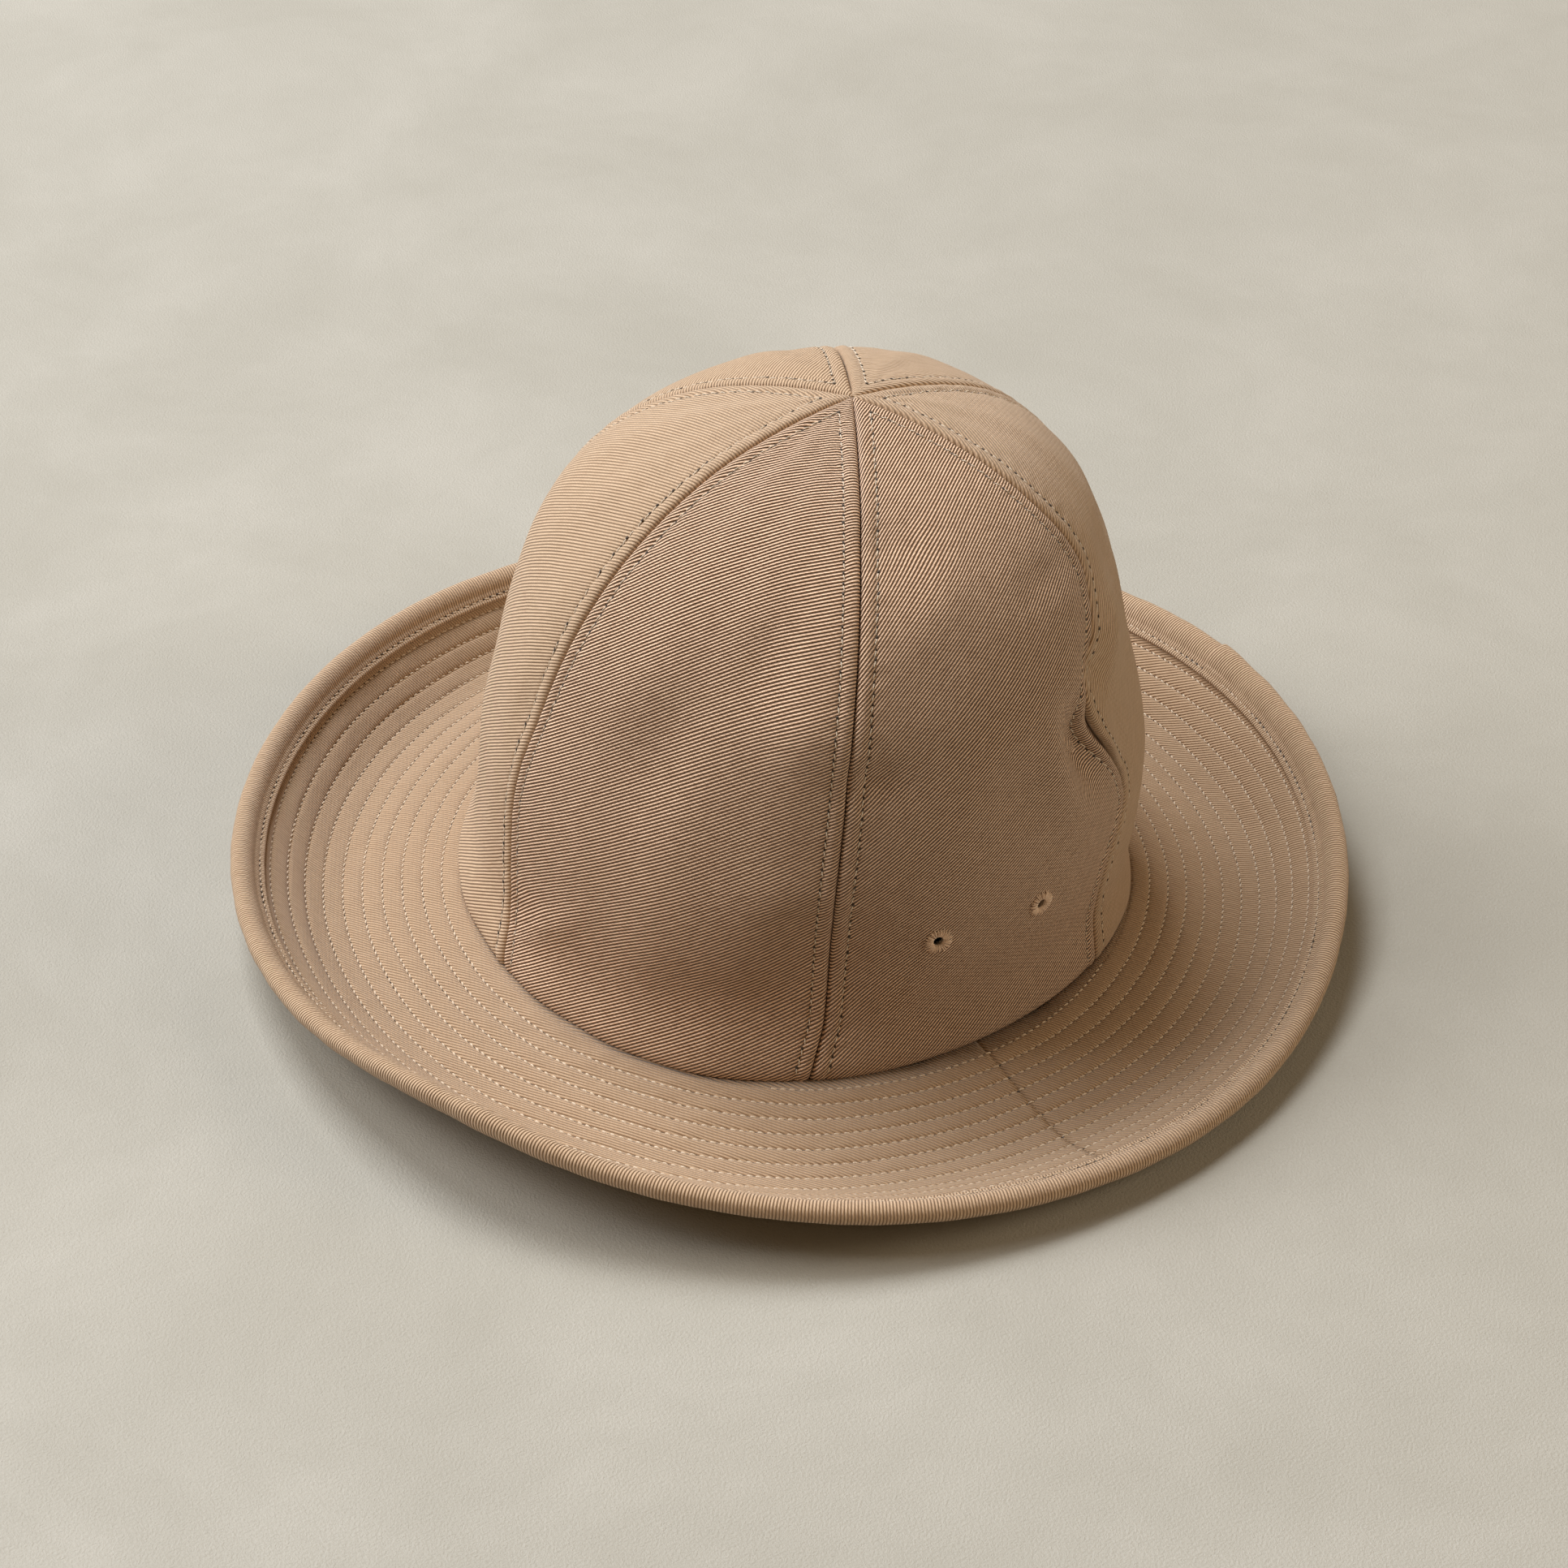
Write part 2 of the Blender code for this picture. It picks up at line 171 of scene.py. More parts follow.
EYELETS = (
    # name, degrees from the front, share of the crown's height
    ("eyelet_left_front", 79, 0.255),
    ("eyelet_left_back", 100, 0.250),
    ("eyelet_right_front", 281, 0.255),
    ("eyelet_right_back", 260, 0.250),
)

FOOT_DRIFTS = (
    # degrees from the front, half width in degrees, how far the crown's foot stands outward in millimetres
    (42, 27, 2.8),
    (97, 24, -2.3),
    (140, 26, 3.0),
)
FOOT_DRIFT_REACH = 0.22  # share of the height

ROW_ENDS = (
    # degrees from the front, places of the first and last rows of stitches along the brim in millimetres
    (-90, -2.0, 56.0),
    (-60, -4.5, 56.3),
    (-30, -2.0, 55.6),
    (0, 0.3, 54.6),
    (30, 2.2, 53.4),
    (60, 3.1, 54.6),
    (90, 2.1, 52.0),
    (120, 1.1, 54.6),
    (150, 3.2, 56.2),
    (180, 2.6, 56.2),
    (210, 0.9, 55.0),
    (240, 0.9, 55.0),
)

# Twill
# direction of the brim's wales, from +X
BRIM_WALE_TURNS = {"brim_front": math.radians(32), "brim_back": math.radians(37)}
BRIM_WALE_PITCH = 0.86 * MM
TAPE_WALE_TURN = math.radians(95)  # direction of the tape's wales, from its length
TAPE_WALE_PITCH = 0.90 * MM
TIP_EASE = 0.08  # how far the crown's cloth is eased out towards the tip
PANEL_BEND = 0.80  # how far a panel's grain fans out as the panel narrows
FOOT_BEND = 0.18  # the same at the foot, where the panel hardly narrows
FOOT_BEND_REACH = 0.32

CROWN_WALES = (
    # panel by panel: degrees from the foot's direction at the middle, pitch in millimetres,
    # how much more level the wales lie with each metre up the panel
    (33.5, 0.88, 0.6),
    (38.0, 0.88, 1.3),
    (35.0, 0.86, 0.6),
    (34.5, 0.86, 0.6),
    (34.5, 0.86, 0.6),
    (36.5, 0.88, 0.6),
)

# Crown seams, measured from the groove
GROOVE_DEPTH = 1.4 * MM
GROOVE_REACH = 0.42 * MM
GROOVE_POWER = 1.2  # above 1 it is rounder at its bottom
GROOVE_ROOM = 3 * MM  # half width of a panel below which the groove gets shallower
# The groove opens at the dent: degrees from the front, half width in degrees, share of the height,
# half height, how much deeper it gets.
GAPE = (112, 15, 0.475, 0.085, 1.3)
GAPE_WIDENING = 0.6  # power of the deepening by which it gets wider too
STRIP_AT = 2.2 * MM
STRIP_RISE = 0.35 * MM
STRIP_REACH = 1.5 * MM
TOPSTITCH_AT = 4.3 * MM
TOPSTITCH_DIP = 0.30 * MM
TOPSTITCH_REACH = 0.5 * MM
VALLEY_DEPTH = 0.45 * MM
VALLEY_REACH = 11 * MM
FOOT_TUCK = 1.2 * MM  # how far the crown's lower edge rolls inward
FOOT_REACH = 1.1 * MM
FOOT_HOLLOW = 1.5 * MM  # above the foot, which flares out below it
FOOT_HOLLOW_AT = 14 * MM
FOOT_HOLLOW_REACH = 9 * MM
PUCKER = 0.22 * MM  # along the topstitching
PUCKER_LENGTH = 6.5 * MM
PUCKER_REACH = 3.4 * MM
RELIEF_ROOM = 7 * MM  # half width of a panel below which its relief fades
SOFT_RISE = 0.32 * MM  # the cloth's unevenness away from the seams
SOFT_LENGTH = 46 * MM
SOFT_ROOM = 12 * MM
FOOT_GAP = 0.05 * MM  # between the crown's foot and the brim

# Quilted brim
QUILT_DEPTH = 0.32 * MM
QUILT_POWER = 0.55
ROW_WANDER = 0.16 * MM  # how far a row strays from its line
ROW_GROOVE = 0.24 * MM  # the thread's own groove, in the middle of the dip
ROW_GROOVE_SHARE = 0.07  # of the space between two rows
QUILT_SOFT_RISE = 0.16 * MM  # the cloth's unevenness between the rows
QUILT_SOFT_LENGTH = 14 * MM
ROW_STEP = 0.02 * MM  # the least space between two rows of the brim's grid
BRIM_SEAM_GAP = 0.04 * MM  # on each side of a side seam's middle
BRIM_SEAM_DIP = 0.25 * MM
BRIM_SEAM_REACH = 0.9 * MM
TUCK_AT = 1.5 * MM  # from the tape's inner edge; the brim is plain from there
TUCK_DEPTH = 0.2 * MM

# Binding
TAPE_STITCH_AT = 1.7 * MM  # from the tape's inner edge
TAPE_STITCH_DIP = 0.30 * MM
JOIN_RISE = 0.55 * MM  # how far the tape's lapping end stands up, at the centre back
JOIN_REACH = 10 * MM
TAPE_COLUMNS = 540
TAPE_CLEAR = 0.1 * MM  # between the brim's faces and the tape's inner face
FLAP_START = 0.7 * MM  # from the tape's inner edge, past its rounded lip
ROLL_HALF = 3.8 * MM  # the roll is wider along the brim than it is high

# Stitches
BRIM_STITCH = 2.5 * MM
CROWN_STITCH = 2.7 * MM
STITCH_SHARE = 0.66  # how much of the brim's pitch a thread covers
CROWN_STITCH_SHARE = 0.62  # and of the crown's
STITCH_STRAY = 0.06  # share of the pitch by which a stitch is off its place
CROWN_STITCH_STRAY = 0.07
CROWN_STITCH_FOOT = 1.5 * MM  # from the foot to the first stitch
CROWN_STITCH_TIP = 8.5 * MM  # from the last stitch to the tip
SEAM_ROW_WANDER = 0.12 * MM
SEAM_ROW_LENGTH = 30 * MM
THREAD_RADIUS = 0.17 * MM
BRIM_THREAD_RADIUS = 0.25 * MM
THREAD_LIFT = 0.20 * MM
THREAD_SLANT = 0.40 * MM
THREAD_SIDES = 6
UNDER_THREAD_SIDES = 4
THREAD_RINGS = (
    # place from -1 to 1, share of the radius, share of the arch
    (-0.97, 0.55, -0.6),
    (-0.80, 0.95, 0.2),
    (0.0, 1.10, 1.0),
    (0.80, 0.95, 0.2),
    (0.97, 0.55, -0.6),
)
THREAD_ARCH = 0.8  # of THREAD_LIFT
# Needle holes: small sunk cones whose near black colour is painted shade.
HOLE_RADIUS = 0.43 * MM
HOLE_SIDES = 5
HOLE_AHEAD = 0.30 * MM  # from the thread's end
HOLE_LENGTH = 1.5  # times its width
HOLE_TOP = 0.16 * MM
HOLE_EDGE = 0.06 * MM
HOLE_DEPTH = 0.3 * MM

# Camera, fitted to the photograph
CAMERA_AZIMUTH = math.radians(57.9)
CAMERA_ELEVATION = math.radians(36.0)
CAMERA_DISTANCE = 1050.5 * MM
CAMERA_TARGET_HEIGHT = 54.35 * MM
CAMERA_OFFSET = (0.906 * MM, 17.44 * MM)
CAMERA_LENS = 86.93
SENSOR_WIDTH = 36


def bump(distance, reach):
    return np.exp(-((distance / reach) ** 2))


def unit(vectors):
    return vectors / np.linalg.norm(vectors, axis=-1, keepdims=True)


def turn_between(a, b):
    """The smaller turn from b to a, from -pi to pi."""
    return (a - b + math.pi) % TAU - math.pi


def turn_bump(turn, degrees, width):
    """A bump at so many degrees from the front, with a half width in degrees."""
    return bump(turn_between(turn, math.radians(degrees)), math.radians(width))


def direction(azimuth, elevation):
    """The way out from the hat. Azimuth 0 is the front and a quarter turn is the wearer's left."""
    across = math.cos(elevation)
    return Vector((math.sin(azimuth) * across, -math.cos(azimuth) * across, math.sin(elevation)))


def ripple(u, v, seed, count=7):
    """Smooth unevenness of about -1 to 1, with hills about half a unit across."""
    rng = np.random.default_rng(seed)
    total = 0
    for _ in range(count):
        angle, phase, pace = rng.uniform(0, TAU), rng.uniform(0, TAU), rng.uniform(0.5, 1.5)
        total = total + np.cos(TAU * pace * (u * math.cos(angle) + v * math.sin(angle)) + phase)
    return total / math.sqrt(2 * count)


# Brim

BRIM_REACH = SLOPE_WIDTH + TURN_WIDTH + RISE_WIDTH
BRIM_END = BRIM_REACH + POCKET_DEPTH
TAPE_START = BRIM_REACH - TAPE_WIDTH


def brim_slope(along):
    share = np.clip((along - SLOPE_WIDTH) / TURN_WIDTH, 0, 1)
    return (SLOPE_FALL + EDGE_RISE) * share**CURL_POWER - SLOPE_FALL


TRACE_ALONG = np.arange(0, BRIM_REACH + 2 * ROLL_RADIUS, TRACE_STEP)
TRACE_SLOPE = brim_slope(TRACE_ALONG[:-1] + TRACE_STEP / 2)
TRACE_OUT = np.append(0, np.cumsum(np.cos(TRACE_SLOPE)) * TRACE_STEP)
TRACE_UP = np.append(0, np.cumsum(np.sin(TRACE_SLOPE)) * TRACE_STEP)
REST_ALONG = TRACE_ALONG[np.argmin(TRACE_UP)]
SEAM_HEIGHT = BRIM_WALL / 2 - REST_PRESS - TRACE_UP.min()
CROWN_FOOT = SEAM_HEIGHT + BRIM_WALL / 2 + GAP


def brim_line(along):
    """How far out and up the middle of the brim's wall is."""
    out = np.where(along <= 0, along, np.interp(along, TRACE_ALONG, TRACE_OUT))
    return out, np.interp(along, TRACE_ALONG, TRACE_UP)


def edge_wave(turn, along):
    """The rise of the brim above its even dish, from nothing at the resting ring."""
    start = REST_ALONG + REST_WIDTH / 2
    share = np.maximum((along - start) / (BRIM_REACH - start), 0)
    rise = 0
    for times, front, left in EDGE_WAVES:
        rise = rise + front * np.cos(times * turn) + left * np.sin(times * turn)
    for degrees, width, height in EDGE_SWELLS:
        rise = rise + height * turn_bump(turn, degrees, width)
    return EDGE_WAVE * rise * share**WAVE_POWER


def brim_points(turn, along, lift):
    turn, along, lift = np.broadcast_arrays(turn, along, lift)
    out_x, out_y = np.sin(turn) / CROWN_WIDE, -np.cos(turn) / CROWN_LONG
    length = np.hypot(out_x, out_y)
    out0, up0 = brim_line(along - BRIM_STEP)
    out1, up1 = brim_line(along + BRIM_STEP)
    run = out1 - out0
    rise = up1 + edge_wave(turn, along + BRIM_STEP) - up0 - edge_wave(turn, along - BRIM_STEP)
    slant = np.hypot(run, rise)
    out, up = brim_line(along)
    out = out - lift * rise / slant
    up = up + edge_wave(turn, along) + lift * run / slant
    x = CROWN_WIDE * np.sin(turn) + out_x / length * out
    y = -CROWN_LONG * np.cos(turn) + out_y / length * out
    return np.stack([x, y, np.maximum(SEAM_HEIGHT + up, 0)], axis=-1)


ROW_TURNS, ROW_FIRSTS, ROW_LASTS = (np.array(ends) for ends in zip(*ROW_ENDS))
ROW_COUNT = 11


def foot_drift(turn):
    """How far the crown's foot stands outward of its even line."""
    return sum(reach * MM * turn_bump(turn, degrees, width) for degrees, width, reach in FOOT_DRIFTS)


def row_at(turn, row):
    """How far along the brim a row of stitches runs. A share of a row is a place between two of them."""
    first = np.interp(np.degrees(turn), ROW_TURNS, ROW_FIRSTS, period=360) * MM
    last = np.interp(np.degrees(turn), ROW_TURNS, ROW_LASTS, period=360) * MM
    return first + (last - first) * row / (ROW_COUNT - 1) + ROW_WANDER * ripple(turn * 2.2, 0, 5)


def row_phase(turn, along):
    first = row_at(turn, 0)
    return (along - first) / (row_at(turn, 1) - first)


def quilt(turn, along):
    """The dips at the rows of stitches, and the cloth's softness between them."""
    phase = row_phase(turn, along)
    crest = np.abs(np.sin(math.pi * phase)) ** QUILT_POWER
    groove = ROW_GROOVE * bump(phase - np.round(phase), ROW_GROOVE_SHARE)
    soft = QUILT_SOFT_RISE * ripple(turn * 6, along / QUILT_SOFT_LENGTH, 11)
    return QUILT_DEPTH * (crest - 1) - groove + soft * crest


# Crown

PROFILE_X = np.sqrt(1 - np.array([row[0] for row in CROWN_PROFILE]))
PROFILE_Y = np.array([row[1] for row in CROWN_PROFILE])


def crown_half(share):
    """The crown's half size at a share of its height, as a share of the base's."""
    x = np.sqrt(np.maximum(1 - share, 0))
    last = len(PROFILE_X) - 1
    ends = np.arange(last + 1)
    before, after = np.maximum(ends - 1, 0), np.minimum(ends + 1, last)
    slope = (PROFILE_Y[after] - PROFILE_Y[before]) / (PROFILE_X[after] - PROFILE_X[before])
    i = np.clip(np.searchsorted(PROFILE_X, x) - 1, 0, last - 1)
    step = PROFILE_X[i + 1] - PROFILE_X[i]
    u = (x - PROFILE_X[i]) / step
    return (
        PROFILE_Y[i] * (1 + 2 * u) * (1 - u) ** 2
        + slope[i] * step * u * (1 - u) ** 2
        + PROFILE_Y[i + 1] * u * u * (3 - 2 * u)
        + slope[i + 1] * step * u * u * (u - 1)
    )


def seam_turn(seam, share):
    turn = seam * TAU / len(PANEL_NAMES)
    for number, height, reach, swing in SEAM_DRIFTS:
        if number == seam % len(PANEL_NAMES):
            start = np.clip(share / SWING_START, 0, 1)
            turn = turn + SEAM_SWING * swing * bump(share - height, reach) * start
    return turn


def fold_push(turn, share):
    """How far the folds move the crown's face."""
    push = 0
    for degrees, height, width, reach, slant, depth in FOLDS:
        middle = np.radians(degrees + slant * (share - height))
        across = bump(turn_between(turn, middle), math.radians(width))
        push = push + depth * MM * across * bump(share - height, reach)
    return push * np.clip(share / FOOT_FADE, 0, 1) * np.clip((1 - share) / TIP_FADE, 0, 1)


def crown_points(turn, share):
    """The crown's smooth outer face, with its folds and without its seams."""
    turn, share = np.broadcast_arrays(turn, share)
    half = crown_half(share)
    push = fold_push(turn, share)
    push = push + foot_drift(turn) * bump(share, FOOT_DRIFT_REACH)
    x = (CROWN_WIDE * half + push) * np.sin(turn)
    y = -(CROWN_LONG * half + push) * np.cos(turn) + CROWN_LEAN * share
    return np.stack([x, y, CROWN_FOOT + CROWN_HEIGHT * share], axis=-1)


def crown_normals(turn, share):
    step, top = 0.001, 0.9999  # the very tip has no direction
    below = np.maximum(share - step, 0)
    above = np.minimum(share + step, top)
    across = crown_points(turn + step, share) - crown_points(turn - step, share)
    upward = crown_points(turn, above) - crown_points(turn, below)
    return unit(np.cross(across, upward))


SHARES = 1 - np.linspace(1, 0, 2001) ** 2
SHARE_STEPS = np.hypot(np.diff(crown_half(SHARES)) * CROWN_MEAN, np.diff(SHARES) * CROWN_HEIGHT)
CLIMB = np.append(0, np.cumsum(SHARE_STEPS))  # distance up the crown's face at each of SHARES


def climb_at(share):
    return np.interp(share, SHARES, CLIMB)


def share_at(climb):
    return np.interp(climb, CLIMB, SHARES)


def crown_relief(turn, share, away, room):
    """How far the cloth stands out of the smooth face, by its distance from a seam."""
    climb = climb_at(share)
    fade = np.clip(room / RELIEF_ROOM, 0.15, 1)
    degrees, width, height, reach, more = GAPE
    gape = 1 + more * turn_bump(turn, degrees, width) * bump(share - height, reach)
    groove = np.exp(-np.abs(away / (GROOVE_REACH * gape**GAPE_WIDENING)) ** GROOVE_POWER)
    relief = -GROOVE_DEPTH * gape * groove * np.clip(room / GROOVE_ROOM, 0.3, 1)
    shape = STRIP_RISE * bump(away - STRIP_AT, STRIP_REACH)
    shape = shape - TOPSTITCH_DIP * bump(away - TOPSTITCH_AT, TOPSTITCH_REACH)
    shape = shape - VALLEY_DEPTH * bump(away, VALLEY_REACH)
    pucker = PUCKER * ripple(climb / PUCKER_LENGTH, turn * 9, 3) * bump(away - TOPSTITCH_AT, PUCKER_REACH)
    soft = SOFT_RISE * ripple(climb / SOFT_LENGTH, turn * 2.6, 9) * np.clip(away / SOFT_ROOM, 0, 1)
    hollow = FOOT_HOLLOW * bump(climb - FOOT_HOLLOW_AT, FOOT_HOLLOW_REACH)
    relief = relief + (shape + pucker) * fade + soft - hollow
    return relief - FOOT_TUCK * np.exp(-climb / FOOT_REACH)


def crown_cloth(turn, share, away, room, depth=0.0):
    """A point of the crown's finished cloth, on its face or so far under it."""
    points = crown_points(turn, share)
    push = crown_relief(turn, share, away, room) - depth
    points = points + crown_normals(turn, share) * push[..., None]
    points[..., 2] -= (GAP - FOOT_GAP) * np.exp(-climb_at(share) / FOOT_REACH)
    return points


# Meshes

def grid_faces(rows, columns, start=0, flip=False, around=False):
    """The faces between a grid's vertices. Around closes each row into a ring."""
    index = start + np.arange(rows * columns).reshape(rows, columns)
    if around:
        index = np.append(index, index[:, :1], axis=1)
    faces = np.stack([index[:-1, :-1], index[:-1, 1:], index[1:, 1:], index[1:, :-1]], axis=-1)
    faces = faces.reshape(-1, 4)
    return (faces[:, ::-1] if flip else faces).tolist()


def zip_lines(one, other):
    """Triangles between two lines of vertices that start and end together."""
    faces = []
    i = j = 0
    while i < len(one) - 1 or j < len(other) - 1:
        ahead = (i + 1) / (len(one) - 1) if i < len(one) - 1 else 2
        beside = (j + 1) / (len(other) - 1) if j < len(other) - 1 else 2
        if ahead <= beside:
            faces.append([one[i], one[i + 1], other[j]])
            i += 1
        else:
            faces.append([one[i], other[j + 1], other[j]])
            j += 1
    return faces


def border(rows, columns, start):
    """The four edges of a grid of vertices."""
    index = start + np.arange(rows * columns).reshape(rows, columns)
    return [line.tolist() for line in (index[0], index[:, -1], index[-1], index[:, 0])]


def add_object(name, data):
    item = bpy.data.objects.new(name, data)
    bpy.context.collection.objects.link(item)
    return item


def add_piece(name, points, faces, material, weave=None):
    mesh = bpy.data.meshes.new(name)
    mesh.from_pydata(points.reshape(-1, 3).tolist(), [], faces)
    if weave is not None:
        corners = np.zeros(len(mesh.loops), dtype=np.int32)
        mesh.loops.foreach_get("vertex_index", corners)
        layer = mesh.uv_layers.new(name="weave")
        layer.uv.foreach_set("vector", weave.reshape(-1, 2)[corners].ravel().astype(np.float32))
    work = bmesh.new()
    work.from_mesh(mesh)
    bmesh.ops.recalc_face_normals(work, faces=work.faces)
    work.to_mesh(mesh)
    work.free()
    mesh.shade_smooth()
    mesh.materials.append(material)
    piece = add_object(name, mesh)
    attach(piece, "root")
    return piece


def add_shell(name, outer, inner, weave_outer, weave_inner, material, slot):
    """A closed cloth: a fine outer grid and a plainer inner one, joined along their four edges."""
    faces = grid_faces(*outer.shape[:2])
    start = outer.shape[0] * outer.shape[1]
    faces += grid_faces(*inner.shape[:2], start, True)
    for one, other in zip(border(*outer.shape[:2], 0), border(*inner.shape[:2], start)):
        faces += zip_lines(one, other)
    points = np.concatenate([outer.reshape(-1, 3), inner.reshape(-1, 3)])
    weave = np.concatenate([weave_outer.reshape(-1, 2), weave_inner.reshape(-1, 2)])
    return add_piece(name, points, faces, material, weave)


def repeated(faces, copies, size):
    """The faces of one small mesh, for each of its copies."""
    starts = range(0, copies * size, size)
    return [tuple(start + corner for corner in face) for start in starts for face in faces]


def turned_weave(along_grain, across_grain, turn, pitch):
    """Weave coordinates in wales: along the wale, then across it."""
    along = along_grain * math.cos(turn) + across_grain * math.sin(turn)
    across = across_grain * math.cos(turn) - along_grain * math.sin(turn)
    return np.stack([along, across], axis=-1) / pitch


# Materials

class Tree:
    """Short calls for a material's nodes."""

    def __init__(self, name):
        self.material = bpy.data.materials.new(name)
        self.material.use_nodes = True
        self.nodes = self.material.node_tree.nodes
        self.links = self.material.node_tree.links
        self.surface = self.nodes["Principled BSDF"]

    def put(self, socket, value):
        if isinstance(value, bpy.types.NodeSocket):
            self.links.new(value, socket)
        else:
            socket.default_value = value

    def fill(self, node, *values):
        """Fills a node's first inputs and gives its first output."""
        for socket, value in zip(node.inputs, values):
            self.put(socket, value)
        return node.outputs[0]

    def math(self, operation, *values):
        node = self.nodes.new("ShaderNodeMath")
        node.operation = operation
        return self.fill(node, *values)

    def hump(self, part, power):
        """1 in the middle of a part that runs from 0 to 1, and 0 at its ends."""
        away = self.math("ABSOLUTE", self.math("MULTIPLY_ADD", part, 2.0, -1.0))
        return self.math("SUBTRACT", 1.0, self.math("POWER", away, power))

    def weave(self):
        node = self.nodes.new("ShaderNodeUVMap")
        node.uv_map = "weave"
        parts = self.nodes.new("ShaderNodeSeparateXYZ")
        self.links.new(node.outputs[0], parts.inputs[0])
        return parts.outputs[0], parts.outputs[1]

    def place(self):
        return self.nodes.new("ShaderNodeTexCoord").outputs["Object"]

    def vector(self, x, y=0.0, z=0.0):
        return self.fill(self.nodes.new("ShaderNodeCombineXYZ"), x, y, z)

    def noise(self, vector, scale, detail=2.0, roughness=0.5, distortion=0.0):
        node = self.nodes.new("ShaderNodeTexNoise")
        self.put(node.inputs["Vector"], vector)
        settings = {"Scale": scale, "Detail": detail, "Roughness": roughness, "Distortion": distortion}
        for name, value in settings.items():
            node.inputs[name].default_value = value
        return node.outputs["Fac"]

    def ramp(self, value, *stops):
        node = self.nodes.new("ShaderNodeValToRGB")
        self.links.new(value, node.inputs[0])
        elements = node.color_ramp.elements
        while len(elements) < len(stops):
            elements.new(0.5)
        for element, (place, colour) in zip(elements, stops):
            element.position = place
            element.color = (*colour, 1)
        return node.outputs[0]

    def mix(self, share, one, other, blend="MIX"):
        node = self.nodes.new("ShaderNodeMix")
        node.data_type = "RGBA"
        node.blend_type = blend
        self.put(node.inputs[0], share)
        for socket, value in ((node.inputs[6], one), (node.inputs[7], other)):
            self.put(socket, (*value, 1) if isinstance(value, tuple) else value)
        return node.outputs[2]

    def range(self, value, low, high, to_low, to_high):
        return self.fill(self.nodes.new("ShaderNodeMapRange"), value, low, high, to_low, to_high)

    def bump(self, height, distance, strength=1.0):
        node = self.nodes.new("ShaderNodeBump")
        node.inputs["Strength"].default_value = strength
        node.inputs["Distance"].default_value = distance
        self.links.new(height, node.inputs["Height"])
        self.links.new(node.outputs[0], self.surface.inputs["Normal"])

    def finish(self, colour, roughness, sheen):
        self.put(self.surface.inputs["Base Color"], colour)
        self.surface.inputs["Specular IOR Level"].default_value = 0.25
        self.put(self.surface.inputs["Roughness"], roughness)
        self.surface.inputs["Sheen Weight"].default_value = sheen
        self.surface.inputs["Sheen Roughness"].default_value = 0.5
        return self.material


PINKER = (1.01, 0.98, 0.975)
YELLOWER = (1.0, 0.975, 0.965)
THIN_YARN = (0.30, 0.20, 0.115)


def twill(name, dye_and_shade_colours, height, swing=0.5, places=(0.05, 0.28, 0.60, 0.98)):
    """Round, slightly uneven wales of short twisted floats, coloured by height from groove to crest: the
    cloth's tan with painted shade in the grooves and a painted highlight on the crests.
    """
    t = Tree(name)
    along, across = t.weave()
    # The wales sway a little, and their yarns are thicker here and thinner there.
    sway = t.noise(t.vector(t.math("MULTIPLY", along, 0.5), across), 0.11, 2.0)
    across = t.math("MULTIPLY_ADD", t.math("SUBTRACT", sway, 0.5), swing, across)
    number = t.math("FLOOR", across)
    part = t.math("FRACT", across)
    ridge = t.hump(part, 1.9)
    # Each float starts a little further on than the one on the wale before it.
    offset = t.math("MULTIPLY_ADD", number, 0.37, t.math("MULTIPLY", part, 0.8))
    twist = t.hump(t.math("FRACT", t.math("MULTIPLY_ADD", along, 0.62, offset)), 3.0)
    slub = t.noise(t.vector(t.math("MULTIPLY", along, 0.22), t.math("MULTIPLY", number, 0.9)), 1.0, 3.0)
    high = t.math("MULTIPLY", ridge, t.math("MULTIPLY_ADD", twist, 0.22, 0.78))
    high = t.math("MULTIPLY", high, t.math("MULTIPLY_ADD", slub, 0.5, 0.75))
    fuzz = t.math("SUBTRACT", t.noise(t.place(), 5200, 2.0, 0.7), 0.5)
    relief = t.math("MULTIPLY_ADD", fuzz, 0.08, high)
    high = t.math("MULTIPLY_ADD", fuzz, 0.28, high)
    # The cloth's tan, darkened towards the groove as painted shade and lightened at the crest as a painted
    # highlight.
    colour = t.ramp(high, *zip(places, dye_and_shade_colours))
    # The dye is a little pinker here and yellower there.
    tone = t.noise(t.place(), 90, 3.0, 0.6)
    tone = t.range(tone, 0.35, 0.65, 0.0, 1.0)
    pink, yellow = (t.mix(1.0, colour, tint, "MULTIPLY") for tint in (PINKER, YELLOWER))
    colour = t.mix(tone, pink, yellow)
    colour = t.mix(t.range(slub, 0.35, 0.65, 0.12, 0.0), colour, THIN_YARN, "MULTIPLY")
    t.bump(relief, height)
    return t.finish(colour, t.range(high, 0.0, 1.0, 0.96, 0.80), 0.18)


def thread(name, dark, light, height=0.03 * MM):
    t = Tree(name)
    fibre = t.noise(t.place(), 3800, 3.0, 0.65)
    tone = t.noise(t.place(), 420, 2.0)
    colour = t.mix(t.range(fibre, 0.3, 0.7, 0.0, 1.0), dark, light)
    colour = t.mix(t.range(tone, 0.35, 0.65, 0.0, 0.35), colour, dark)
    t.bump(fibre, height)
    return t.finish(colour, t.range(fibre, 0.2, 0.8, 0.80, 0.62), 0.25)


PLASTER_TONES = (
    # place in the tone, colour
    (0.36, (0.352, 0.335, 0.293)),
    (0.52, (0.376, 0.359, 0.317)),
    (0.66, (0.402, 0.384, 0.342)),
)


def plaster():
    t = Tree("floor_plaster")
    place = t.place()
    cloud = t.noise(place, 9.0, 10.0, 0.66, 0.3)
    grain = t.noise(place, 1300, 2.0, 0.7)
    tone = t.math("MULTIPLY_ADD", grain, 0.40, t.math("SUBTRACT", cloud, 0.20))
    colour = t.ramp(tone, *PLASTER_TONES)
    t.bump(grain, 0.45 * MM, 0.6)
    return t.finish(colour, t.range(cloud, 0.3, 0.7, 0.62, 0.50), 0.0)
